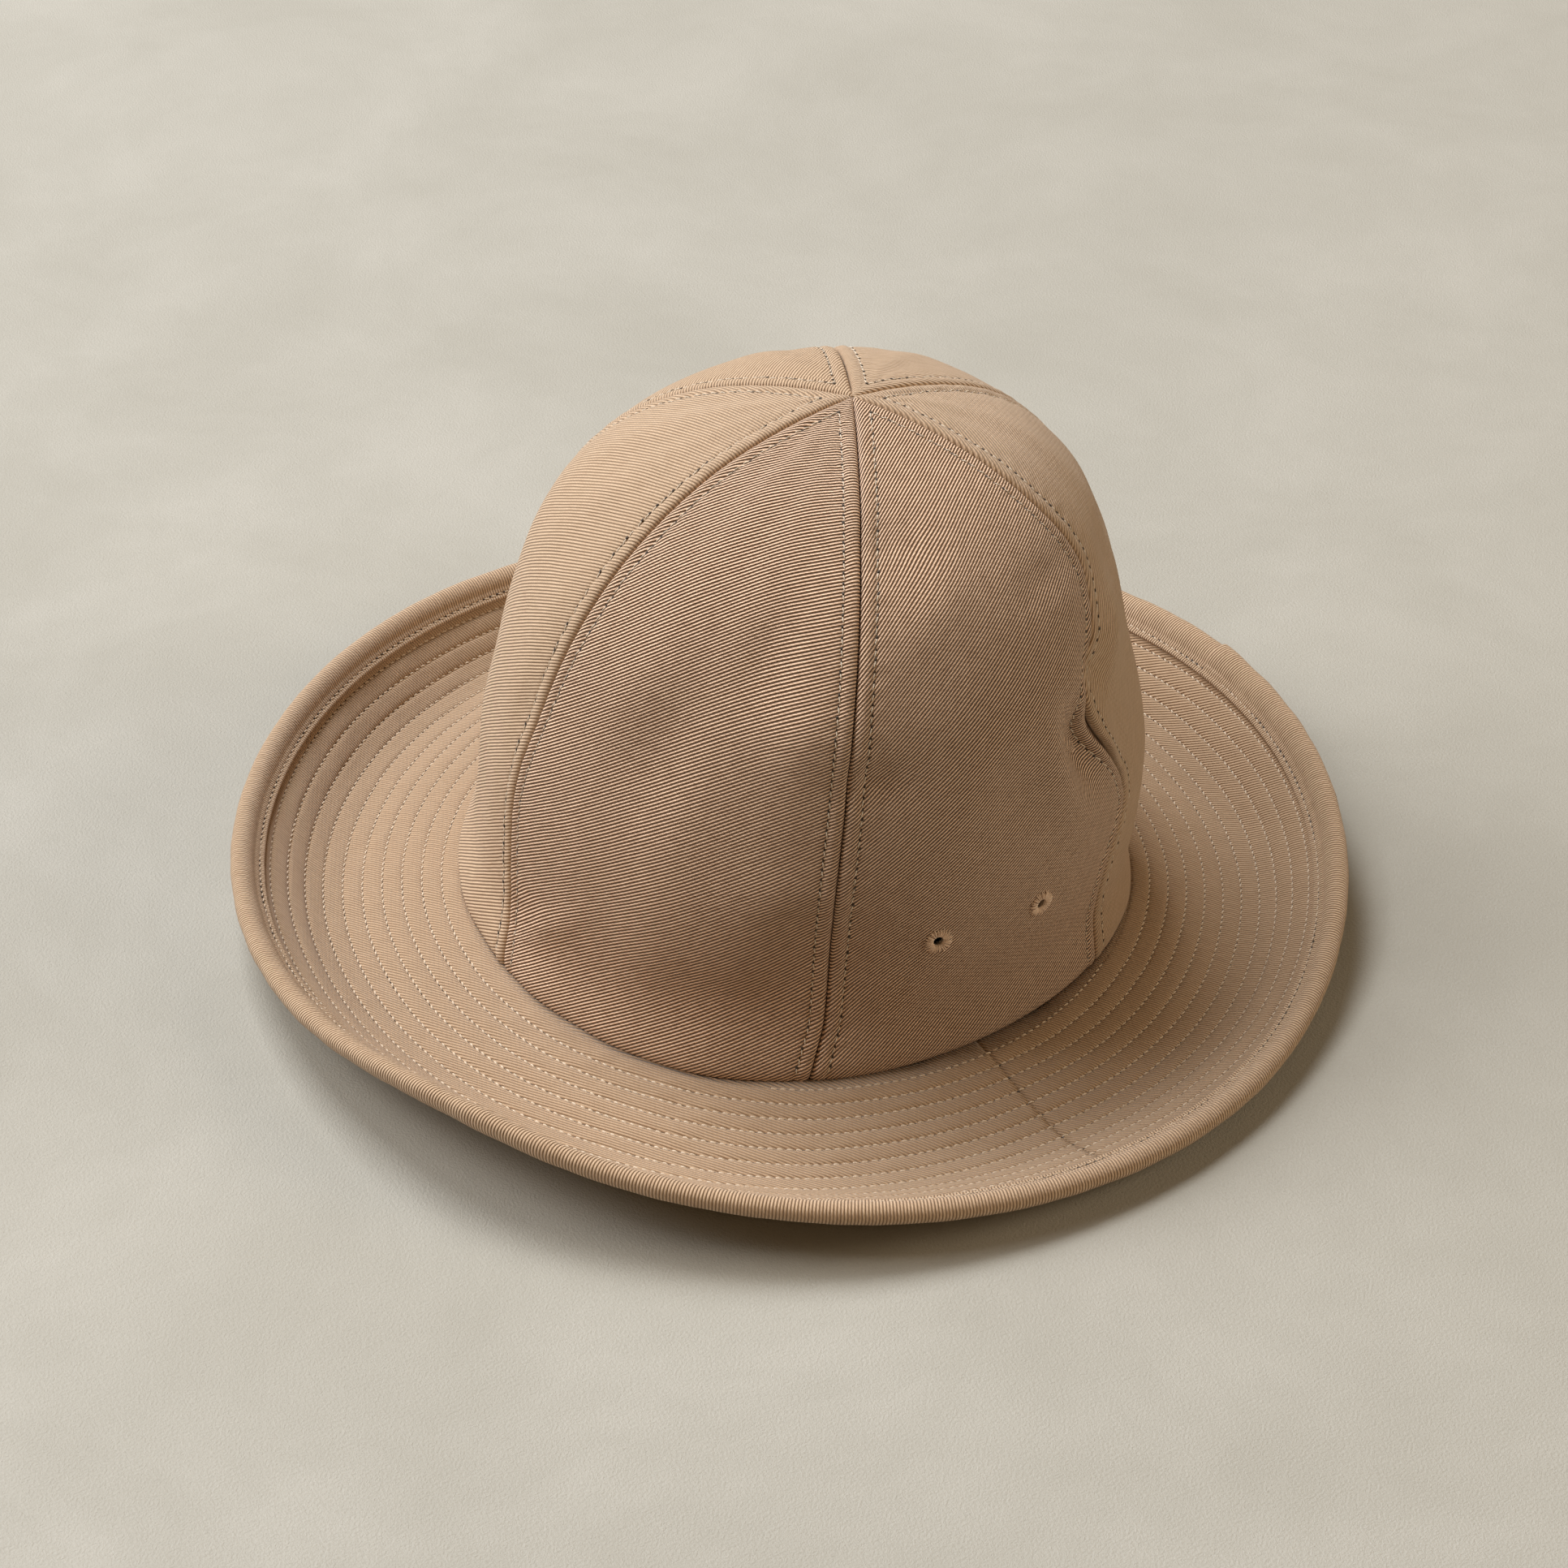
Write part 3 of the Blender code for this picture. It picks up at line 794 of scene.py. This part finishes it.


# Colours of the twills: groove, valley, wale, crest. Each is the cloth's tan with painted shade towards the
# groove and a painted highlight at the crest; the raked set paints the most, for panels the light rakes
# across.
RAKED_DYE_AND_SHADE = ((0.130, 0.072, 0.039), (0.290, 0.177, 0.107), (0.575, 0.379, 0.247), (0.960, 0.700, 0.503))
MILD_DYE_AND_SHADE = ((0.335, 0.221, 0.134), (0.430, 0.297, 0.188), (0.505, 0.358, 0.231), (0.620, 0.460, 0.313))
BRIM_DYE_AND_SHADE = ((0.325, 0.214, 0.127), (0.385, 0.262, 0.162), (0.440, 0.304, 0.191), (0.505, 0.358, 0.230))
TAPE_DYE_AND_SHADE = (RAKED_DYE_AND_SHADE[0], BRIM_DYE_AND_SHADE[1], BRIM_DYE_AND_SHADE[2], MILD_DYE_AND_SHADE[3])

# The panels that the light rakes across get the strongest painted groove shade and crest highlight. The other
# panels, the brim and the tape get milder painted shade and highlight.
crown_twill = twill("crown_twill", RAKED_DYE_AND_SHADE, 0.90 * MM, places=(0.12, 0.42, 0.68, 0.92))
mildly_shaded_twill = twill("mildly_shaded_twill", MILD_DYE_AND_SHADE, 0.42 * MM)
brim_twill = twill("brim_twill", BRIM_DYE_AND_SHADE, 0.34 * MM)
tape_twill = twill("tape_twill", TAPE_DYE_AND_SHADE, 0.34 * MM, 0.3)
stitch_thread = thread("stitch_thread", (0.45, 0.34, 0.235), (0.86, 0.74, 0.60))
crown_thread = thread("crown_thread", (0.42, 0.34, 0.25), (0.85, 0.76, 0.64))
eyelet_thread = thread("eyelet_thread", (0.55, 0.40, 0.29), (0.88, 0.70, 0.56))
# The needle holes are coloured near black: painted shade inside the holes.
painted_hole_shade = thread("painted_hole_shade", (0.035, 0.022, 0.012), (0.06, 0.038, 0.022))


# Crown panels

SEAM_COLUMNS = MM * np.array(
    [0, 0.12, 0.25, 0.42, 0.65, 0.95, 1.3, 1.8, 2.4, 3.0, 3.5, 3.9, 4.3, 4.7, 5.2, 6.0, 7.2]
)
FOOT_CLIMBS = MM * np.array([0, 0.3, 0.7, 1.3, 2.1])  # the lowest rows, over the rolled foot
CLOTH_START = 3.2 * MM  # how far up the even rows begin
PLAIN_COLUMNS = 56
CLOTH_ROWS = 130
LINING_STEP = 5  # columns and rows of the outer grid for each one of the inner
SEAM_ROOM = 1.5  # half width of a panel, in widths of its seam columns, below which they draw together
TIP_ROOM = 0.25 * MM
SEAM_SLIT = 0.10 * MM  # between a panel's edge and the middle of its seam
RAKED_PANELS = ("crown_front_left", "crown_left")  # the light rakes across these panels, so their twill has the strongest painted shade and highlight


def panel_room(panel, share):
    """Half the width of a panel."""
    width = seam_turn(panel + 1, share) - seam_turn(panel, share)
    return width / 2 * crown_half(share) * CROWN_MEAN


def panel_columns(room):
    """Distances from a panel's left seam, for each half width."""
    last = SEAM_COLUMNS[-1]
    scale = np.minimum(1, room / (SEAM_ROOM * last))
    seam = SEAM_SLIT * scale[:, None] + SEAM_COLUMNS[None] * scale[:, None]
    start = seam[:, -1:]
    share = np.linspace(0, 1, PLAIN_COLUMNS + 2)[None, 1:-1]
    plain = start + share * (2 * room[:, None] - 2 * start)
    return np.concatenate([seam, plain, 2 * room[:, None] - seam[:, ::-1]], axis=1)


def panel_grid(panel, climbs):
    """Turns, shares, distances from the nearer seam and half widths, as grids."""
    share = share_at(climbs)
    room = panel_room(panel, share)
    at = panel_columns(room)
    first = seam_turn(panel, share) * np.ones_like(share)
    last = seam_turn(panel + 1, share) * np.ones_like(share)
    turn = first[:, None] + (last - first)[:, None] * at / (2 * room[:, None])
    away = np.minimum(at, 2 * room[:, None] - at)
    share, room = (np.broadcast_to(value[:, None], at.shape) for value in (share, room))
    return turn, share, away, room


def panel_weave(panel, turn, share):
    """The cloth is cut flat with its grain up the middle of the panel."""
    middle = (panel + 0.5) * TAU / len(PANEL_NAMES)
    radius = crown_half(share) * CROWN_MEAN
    step, top = 0.004, 0.9995
    below, above = np.maximum(share - step, 0), np.minimum(share + step, top)
    narrowing = (crown_half(below) - crown_half(above)) * CROWN_MEAN / (climb_at(above) - climb_at(below))
    bend = FOOT_BEND * bump(share, FOOT_BEND_REACH) + PANEL_BEND * np.clip(narrowing, 0.04, 1)
    aside = turn_between(turn, middle)
    across = radius * np.sin(bend * aside) / bend
    up = climb_at(share) * (1 - TIP_EASE * share**3) + radius * (1 - np.cos(bend * aside)) / bend
    degrees, pitch, levelling = CROWN_WALES[panel]
    weave = turned_weave(across, up, math.radians(degrees), pitch * MM)
    weave[..., 1] += levelling * up**2 / 2 / (pitch * MM)
    return weave


def add_panel(panel):
    top = CLIMB[-1] - TIP_ROOM
    climbs = np.concatenate([FOOT_CLIMBS, np.linspace(CLOTH_START, top, CLOTH_ROWS)])
    turn, share, away, room = panel_grid(panel, climbs)
    outer = crown_cloth(turn, share, away, room)
    weave = panel_weave(panel, turn, share)
    pick = np.ix_(*(np.unique(np.append(np.arange(0, size, LINING_STEP), size - 1)) for size in turn.shape))
    inner = crown_cloth(turn[pick], share[pick], away[pick], room[pick], CROWN_WALL)
    name = PANEL_NAMES[panel]
    material = crown_twill if name in RAKED_PANELS else mildly_shaded_twill
    piece = add_shell(name + "_cloth", outer, inner, weave, weave[pick], material, "crown_twill")
    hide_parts(name)
    return piece


panels = [add_panel(number) for number in range(len(PANEL_NAMES))]


# Brim and its binding

BRIM_COLUMNS = 250
UNDER_COLUMNS = 160
QUILT_SHARES = (0, 0.06, 0.15, 0.30, 0.50, 0.70, 0.85, 0.94)
UNDER_SHARES = (0, 0.12, 0.35, 0.65, 0.88)


def row_places(turn, shares, end):
    """Distances along the brim from under the crown's wall outward, closer together at the stitches."""
    start = foot_drift(turn) - CROWN_WALL
    rows = np.array([row + share for row in range(ROW_COUNT) for share in shares])[:, None]
    places = np.clip(row_at(turn, rows), start, end)
    count = len(rows)
    least = start + ROW_STEP * np.arange(count)[:, None]
    places = np.maximum.accumulate(np.maximum(places, least), axis=0)
    beyond = np.linspace(0.2, 1, 5)[:, None]
    return np.concatenate([start, places, places[-1:] + (end - places[-1:]) * beyond])


def brim_weave(name, turn, along):
    radius = np.hypot(CROWN_WIDE * np.sin(turn), CROWN_LONG * np.cos(turn)) + along
    return turned_weave(radius * np.sin(turn), -radius * np.cos(turn), BRIM_WALE_TURNS[name], BRIM_WALE_PITCH)


def upper_lift(turn, along):
    return BRIM_WALL / 2 + quilt(turn, along)


def under_lift(turn, along):
    """The underside's lift, flattened towards the ring that it rests on."""
    rest = bump(along - REST_ALONG, REST_WIDTH)
    return -BRIM_WALL / 2 - quilt(turn, along) * (1 - rest)


def add_brim_half(name, first_turn):
    """Half of the brim: an upper face with close rows at the stitches, and a plainer lower one."""
    seam = BRIM_SEAM_GAP / (CROWN_LONG + BRIM_REACH / 2)
    last_turn = first_turn + math.pi
    faces, weaves = [], []
    for columns, shares, lift_of, dip, plain in (
        (BRIM_COLUMNS, QUILT_SHARES, upper_lift, BRIM_SEAM_DIP, BRIM_WALL / 2 - TUCK_DEPTH),
        (UNDER_COLUMNS, UNDER_SHARES, under_lift, 0, TUCK_DEPTH - BRIM_WALL / 2),
    ):
        turn = np.linspace(first_turn + seam, last_turn - seam, columns)[None]
        along = row_places(turn, shares, BRIM_END - GAP)
        near = np.minimum(turn - first_turn, last_turn - turn) * (CROWN_LONG + along)
        lift = lift_of(turn, along) - dip * bump(near, BRIM_SEAM_REACH)
        lift = np.where(along > TAPE_START + TUCK_AT, plain, lift)
        faces.append(brim_points(turn, along, lift))
        weaves.append(brim_weave(name, turn, along))
    piece = add_shell(name + "_cloth", *faces, *weaves, brim_twill, "brim_twill")
    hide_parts(name)


add_brim_half("brim_back", math.pi / 2)
add_brim_half("brim_front", -math.pi / 2)


def binding_section():
    """The tape's outline: along, lift and how much of the tape's unevenness each point takes."""
    under, over = BRIM_WALL / 2 + TAPE_CLEAR, BRIM_WALL / 2 + GAP + TAPE_WALL
    turn_at = math.asin((over - ROLL_LIFT) / ROLL_RADIUS)
    turn_under = math.asin((over + ROLL_LIFT) / ROLL_RADIUS)
    middle = BRIM_REACH + ROLL_RADIUS - ROLL_HALF
    flap = np.linspace(FLAP_START, middle - ROLL_HALF * math.cos(turn_at) - TAPE_START, 9)[:-1]
    # The rounded lip of the tape's inner edge: along in millimetres, lift
    lip = ((0.35, under), (0.05, under + 0.35 * MM), (0.12, over - 0.25 * MM), (0.35, over - 0.02 * MM))
    points = [(TAPE_START + along * MM, lift, 0.6 * (lift > under)) for along, lift in lip]
    points += [(TAPE_START + along, over - tape_dip(along), 1) for along in flap]
    lower = [(along, -lift, share) for along, lift, share in points[::-1]]
    for angle in np.linspace(math.pi - turn_at, turn_under - math.pi, 23):
        points.append((middle + ROLL_HALF * math.cos(angle), ROLL_LIFT + ROLL_RADIUS * math.sin(angle), 1))
    points += [*lower, (BRIM_REACH - MM, -under, 0), (BRIM_REACH - MM, under, 0)]
    return np.array(points)


def tape_dip(along):
    """The dip at the tape's stitches, by the distance from its inner edge."""
    return TAPE_STITCH_DIP * bump(along - TAPE_STITCH_AT, 0.5 * MM)


def add_binding():
    """One tape round the whole edge, with its end lapped over its start at the centre back."""
    ends = np.array([0, 0.25, 0.5, 0.9, 1.5, 2.6, 4]) * MM / (CROWN_LONG + BRIM_REACH)
    middle = np.linspace(ends[-1], TAU - ends[-1], TAPE_COLUMNS)[1:-1]
    turn = math.pi + np.concatenate([ends, middle, TAU - ends[::-1]])[:, None]
    lapped = JOIN_RISE * bump(math.pi + TAU - turn, JOIN_REACH / (CROWN_LONG + BRIM_REACH))
    section = binding_section()[None]
    along, lift, share = section[..., 0], section[..., 1], section[..., 2]
    uneven = 0.12 * MM * ripple(turn * 7, 0, 21) + 0.05 * MM * ripple(turn * 24, 0, 22)
    away_out = (along - BRIM_REACH - ROLL_RADIUS + ROLL_HALF) / ROLL_HALF
    away_up = (lift - ROLL_LIFT) / ROLL_RADIUS
    roll = np.hypot(away_out, away_up) < 1.01  # the points that lie on the roll
    out = np.where(roll, away_out, 0)
    up = np.where(roll, away_up, np.sign(lift))
    push = share * (uneven + lapped)
    points = brim_points(turn, along + out * push, lift + up * push)
    rows, columns = points.shape[:2]
    faces = grid_faces(rows, columns, around=True)
    faces += [range(columns), range((rows - 1) * columns, rows * columns)]
    length = turn * (CROWN_LONG + CROWN_WIDE + 2 * BRIM_REACH) / 2
    girth = np.append(0, np.cumsum(np.hypot(np.diff(along[0]), np.diff(lift[0]))))[None]
    weave = turned_weave(length + 0 * girth, girth + 0 * length, TAPE_WALE_TURN, TAPE_WALE_PITCH)
    piece = add_piece("edge_binding_cloth", points, faces, tape_twill, weave)
    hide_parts("edge_binding")


add_binding()


# Stitches

def add_hole_shades(name, ends, back, aside, ups):
    """A needle hole past the end of each thread, coloured near black as painted shade in the hole."""
    middle = ends + back * HOLE_AHEAD
    points = [middle + ups * HOLE_TOP]
    for side in range(HOLE_SIDES):
        angle = TAU * side / HOLE_SIDES
        out = aside * math.cos(angle) + back * math.sin(angle) * HOLE_LENGTH
        points.append(middle + out * HOLE_RADIUS + ups * HOLE_EDGE)
    points.append(middle - ups * HOLE_DEPTH)
    points = np.stack(points, axis=1)
    following = [(side + 1) % HOLE_SIDES for side in range(HOLE_SIDES)]
    faces = [(0, 1 + side, 1 + other) for side, other in enumerate(following)]
    faces += [(HOLE_SIDES + 1, 1 + other, 1 + side) for side, other in enumerate(following)]
    add_piece(name, points, repeated(faces, *points.shape[:2]), painted_hole_shade)


def add_stitches(name, starts, ends, ups, slot, radius, sides, hole_shades=True, material=stitch_thread):
    """Short threads that dive into the cloth at both ends."""
    axis = (ends - starts) / 2
    middle = (starts + ends) / 2
    aside = unit(np.cross(axis, ups))
    points = [starts - ups * THREAD_LIFT]
    for at, thick, high in THREAD_RINGS:
        for side in range(sides):
            angle = TAU * (side + 0.5) / sides
            out = aside * math.cos(angle) * radius * thick
            up = ups * (math.sin(angle) * radius * thick + high * THREAD_LIFT * THREAD_ARCH)
            points.append(middle + axis * at + out + up)
    points.append(ends - ups * THREAD_LIFT)
    points = np.stack(points, axis=1)
    count = points.shape[1]
    faces = [(0, 1 + (side + 1) % sides, 1 + side) for side in range(sides)]
    faces += grid_faces(len(THREAD_RINGS), sides, 1, around=True)
    last = count - 1 - sides
    faces += [(last + side, last + (side + 1) % sides, count - 1) for side in range(sides)]
    add_piece(name, points, repeated(faces, *points.shape[:2]), material)
    if hole_shades:
        add_hole_shades(name.replace("stitches", "hole_shades"), ends, unit(axis), aside, ups)


def even_turns(row, pitch, seed):
    """Turns of stitches spaced evenly along a ring of the brim, each a little off its place."""
    turn = np.linspace(0, TAU, 2001)
    points = brim_points(turn, row(turn), 0.0)
    length = np.append(0, np.cumsum(np.linalg.norm(np.diff(points, axis=0), axis=1)))
    count = round(length[-1] / pitch)
    rng = np.random.default_rng(seed)
    stray = rng.uniform(-STITCH_STRAY, STITCH_STRAY, count)
    places = (np.arange(count) + 0.5 + stray) * length[-1] / count
    reach = STITCH_SHARE * length[-1] / count / 2
    return np.interp(places - reach, length, turn), np.interp(places + reach, length, turn)


def brim_stitches(name, face, lift_of, rows, slot, radius):
    """Stitches along rings of the brim. Each ring is a function of the turn.

    The face is 1 for the upper one, whose stitches have needle holes coloured with painted shade, and -1 for
    the lower one.
    """
    starts, ends, ups = [], [], []
    for number, row in enumerate(rows):
        begin, end = even_turns(row, BRIM_STITCH, 100 + number)
        shown = row(begin) > foot_drift(begin) + 0.6 * MM
        begin, end = begin[shown], end[shown]
        a, b = row(begin) - THREAD_SLANT / 2, row(end) + THREAD_SLANT / 2
        lift_a, lift_b = lift_of(begin, row(begin)), lift_of(end, row(end))
        starts.append(brim_points(begin, a, lift_a))
        ends.append(brim_points(end, b, lift_b))
        ups.append(brim_points(begin, a, lift_a + face * MM) - starts[-1])
    ups = unit(np.concatenate(ups))
    sides = THREAD_SIDES if face > 0 else UNDER_THREAD_SIDES
    add_stitches(name, np.concatenate(starts), np.concatenate(ends), ups, slot, radius, sides, face > 0)


ROWS = [lambda turn, row=row: row_at(turn, row) for row in range(ROW_COUNT)]
TAPE_ROW = [lambda turn: TAPE_START + TAPE_STITCH_AT + 0 * turn]
TAPE_TOP = BRIM_WALL / 2 + GAP + TAPE_WALL - TAPE_STITCH_DIP

brim_stitches("brim_stitches", 1, upper_lift, ROWS, "brim_twill", BRIM_THREAD_RADIUS)
brim_stitches("brim_under_stitches", -1, under_lift, ROWS, "brim_twill", BRIM_THREAD_RADIUS)
brim_stitches("tape_stitches", 1, lambda *place: TAPE_TOP, TAPE_ROW, "binding_tape", THREAD_RADIUS)
brim_stitches("tape_under_stitches", -1, lambda *place: -TAPE_TOP, TAPE_ROW, "binding_tape", THREAD_RADIUS)


def crown_stitches():
    """A row of stitches on each side of every crown seam."""
    first, last = CROWN_STITCH_FOOT, CLIMB[-1] - CROWN_STITCH_TIP
    count = round((last - first) / CROWN_STITCH)
    reach = CROWN_STITCH_SHARE * CROWN_STITCH / 2
    starts, ends, ups = [], [], []
    for seam in range(len(PANEL_NAMES)):
        for side in (-1, 1):
            panel = seam if side > 0 else seam - 1
            rng = np.random.default_rng(40 + 2 * seam + side)
            stray = rng.uniform(-CROWN_STITCH_STRAY, CROWN_STITCH_STRAY, count)
            places = first + (np.arange(count) + 0.5 + stray) * CROWN_STITCH
            wander = SEAM_ROW_WANDER * ripple(places / SEAM_ROW_LENGTH, 0, seam)
            made = []
            for shift, slant in ((-reach, -0.5), (reach, 0.5)):
                share = share_at(places + shift)
                room = panel_room(panel % len(PANEL_NAMES), share)
                at = TOPSTITCH_AT + wander + slant * THREAD_SLANT
                turn = seam_turn(seam, share) + side * at / (crown_half(share) * CROWN_MEAN)
                made.append(crown_cloth(turn, share, at, room))
                normal = crown_normals(turn, share)
            starts.append(made[0])
            ends.append(made[1])
            ups.append(normal)
    lines = map(np.concatenate, (starts, ends, ups))
    add_stitches("crown_stitches", *lines, "crown_twill", THREAD_RADIUS, THREAD_SIDES, material=crown_thread)


crown_stitches()


# Eyelets

EYELET_THREADS = 34
EYELET_THREAD_HALF = 0.18 * MM
EYELET_THREAD_RISE = 0.20 * MM
PAD_SIDES = 48
VENT_CUT = 8 * MM  # length of the cut through the cloth

PAD_PROFILE = (
    # radius, height over the cloth
    (BARREL_RADIUS - 0.35 * MM, -CROWN_WALL),
    (BARREL_RADIUS - 0.2 * MM, -CROWN_WALL),
    (BARREL_RADIUS - 0.2 * MM, -0.1 * MM),
    (EYELET_RADIUS - 0.3 * MM, -0.2 * MM),
    (EYELET_RADIUS - 0.5 * MM, 0.05 * MM),
    (2.6 * MM, 0.16 * MM),
    (1.9 * MM, 0.12 * MM),
    (VENT_RADIUS + 0.4 * MM, -0.15 * MM),
    (VENT_RADIUS + 0.7 * MM, -0.45 * MM),
)

EYELET_PATH = (
    # radius and height in millimetres, share of the thread's thickness
    (1.40, -0.30, 0.5),
    (1.34, -0.12, 0.8),
    (1.62, 0.24, 0.9),
    (2.20, 0.48, 1.0),
    (2.90, 0.50, 1.0),
    (3.60, 0.32, 1.0),
    (4.00, -0.12, 0.8),
)


def eyelet_place(degrees, share):
    turn, share = np.array(math.radians(degrees)), np.array(share)
    far = np.array(20 * MM)
    place = Vector(crown_cloth(turn, share, far, 2 * far))
    normal = Vector(crown_normals(turn, share))
    return Matrix.Translation(place) @ normal.to_track_quat("Z", "Y").to_matrix().to_4x4()


def add_eyelet(name, place, seed):
    """Threads laid side by side from the hole outward, over a padded ring."""
    rng = np.random.default_rng(seed)
    points, faces = [], []
    for side in range(PAD_SIDES):
        x, y = math.cos(TAU * side / PAD_SIDES), math.sin(TAU * side / PAD_SIDES)
        points += [(radius * x, radius * y, height) for radius, height in PAD_PROFILE]
    count = len(PAD_PROFILE)
    for side in range(PAD_SIDES):
        here, there = side * count, (side + 1) % PAD_SIDES * count
        for j in range(count):
            k = (j + 1) % count
            faces.append((here + j, there + j, there + k, here + k))
    ring = THREAD_SIDES
    for number in range(EYELET_THREADS):
        angle = TAU * (number + rng.uniform(-0.22, 0.22)) / EYELET_THREADS
        swirl = rng.uniform(-0.02, 0.02)
        reach = rng.uniform(0.88, 1.08)
        raised = rng.uniform(-0.06, 0.06) * MM
        start = len(points)
        for radius, height, thick in EYELET_PATH:
            turned = angle + swirl * (radius - 1)
            out = Vector((math.cos(turned), math.sin(turned), 0))
            aside = Vector((-out.y, out.x, 0))
            far = radius * MM if radius < 1.5 else (1.5 + (radius - 1.5) * reach) * MM
            width = thick * min(EYELET_THREAD_HALF, 0.50 * TAU * far / EYELET_THREADS)
            for corner in range(ring):
                turn = TAU * corner / ring
                point = out * far + aside * math.cos(turn) * width
                point.z += height * MM + raised + math.sin(turn) * thick * EYELET_THREAD_RISE
                points.append(tuple(point))
        faces += grid_faces(len(EYELET_PATH), ring, start, around=True)
        faces += [range(start, start + ring)[::-1], range(len(points) - ring, len(points))]
    points = [tuple(place @ Vector(point)) for point in points]
    piece = add_piece(name + "_thread", np.array(points), faces, eyelet_thread)
    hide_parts(name)


def cut_vent(panel, place):
    """Opens the panel under an eyelet."""
    bpy.ops.mesh.primitive_cylinder_add(vertices=32, radius=BARREL_RADIUS, depth=VENT_CUT)
    cutter = bpy.context.object
    cutter.matrix_world = place
    cut = panel.modifiers.new("vent", "BOOLEAN")
    cut.operation = "DIFFERENCE"
    cut.object = cutter
    bpy.context.view_layer.update()
    shown = panel.evaluated_get(bpy.context.evaluated_depsgraph_get())
    mesh = bpy.data.meshes.new_from_object(shown)
    panel.modifiers.clear()
    panel.data = mesh
    bpy.data.objects.remove(cutter, do_unlink=True)


for number, (name, degrees, share) in enumerate(EYELETS):
    place = eyelet_place(degrees, share)
    cut_vent(panels[PANEL_NAMES.index("crown_left" if "left" in name else "crown_right")], place)
    add_eyelet(name, place, 60 + number)


# Floor, lights and camera

LIGHTS = (
    # name, degrees from the front, degrees up, distance and side in metres, power, colour
    ("key_light", -90, 54, 4.8, 2.2, 238, (0.96, 0.985, 1.0)),
    ("side_light", -42, 40, 4.8, 2.8, 214, (0.99, 0.99, 0.985)),
    ("fill_light", 145, 28, 3.6, 1.8, 47, (1.0, 0.84, 0.62)),
    ("front_light", 55, 30, 3.6, 2.4, 15, (1.0, 0.72, 0.42)),
)
LIGHTS_AIM = 0.06  # height of the point that the lights face
FLOOR_SIZE = 8
WORLD_COLOUR = (1.0, 0.62, 0.31, 1)
WORLD_STRENGTH = 0.075


def add_camera():
    right = Vector((math.cos(CAMERA_AZIMUTH), math.sin(CAMERA_AZIMUTH), 0))
    back = direction(CAMERA_AZIMUTH, CAMERA_ELEVATION)
    up = back.cross(right)
    data = bpy.data.cameras.new("camera")
    data.lens = CAMERA_LENS
    data.sensor_width = SENSOR_WIDTH
    camera = add_object("camera", data)
    target = Vector((0, 0, CAMERA_TARGET_HEIGHT))
    place = target - CAMERA_OFFSET[0] * right - CAMERA_OFFSET[1] * up + CAMERA_DISTANCE * back
    turned = Matrix((right, up, back)).transposed().to_4x4()
    camera.matrix_world = Matrix.Translation(place) @ turned
    bpy.context.scene.camera = camera


def add_light(name, azimuth, elevation, distance, size, power, colour):
    """A square soft light, aimed at the hat."""
    towards = direction(math.radians(azimuth), math.radians(elevation))
    data = bpy.data.lights.new(name, "AREA")
    data.size = size
    data.energy = power
    data.color = colour
    light = add_object(name, data)
    light.location = Vector((0, 0, LIGHTS_AIM)) + towards * distance
    light.rotation_mode = "QUATERNION"
    light.rotation_quaternion = towards.to_track_quat("Z", "Y")


def add_stage():
    bpy.ops.mesh.primitive_plane_add(size=FLOOR_SIZE)
    floor = bpy.context.object
    floor.name = "floor"
    floor.data.materials.append(plaster())
    for light in LIGHTS:
        add_light(*light)
    world = bpy.data.worlds.new("studio")
    world.use_nodes = True
    background = world.node_tree.nodes["Background"]
    background.inputs[0].default_value = WORLD_COLOUR
    background.inputs[1].default_value = WORLD_STRENGTH
    bpy.context.scene.world = world
    bpy.context.scene.view_settings.view_transform = "Standard"


add_stage()
add_camera()
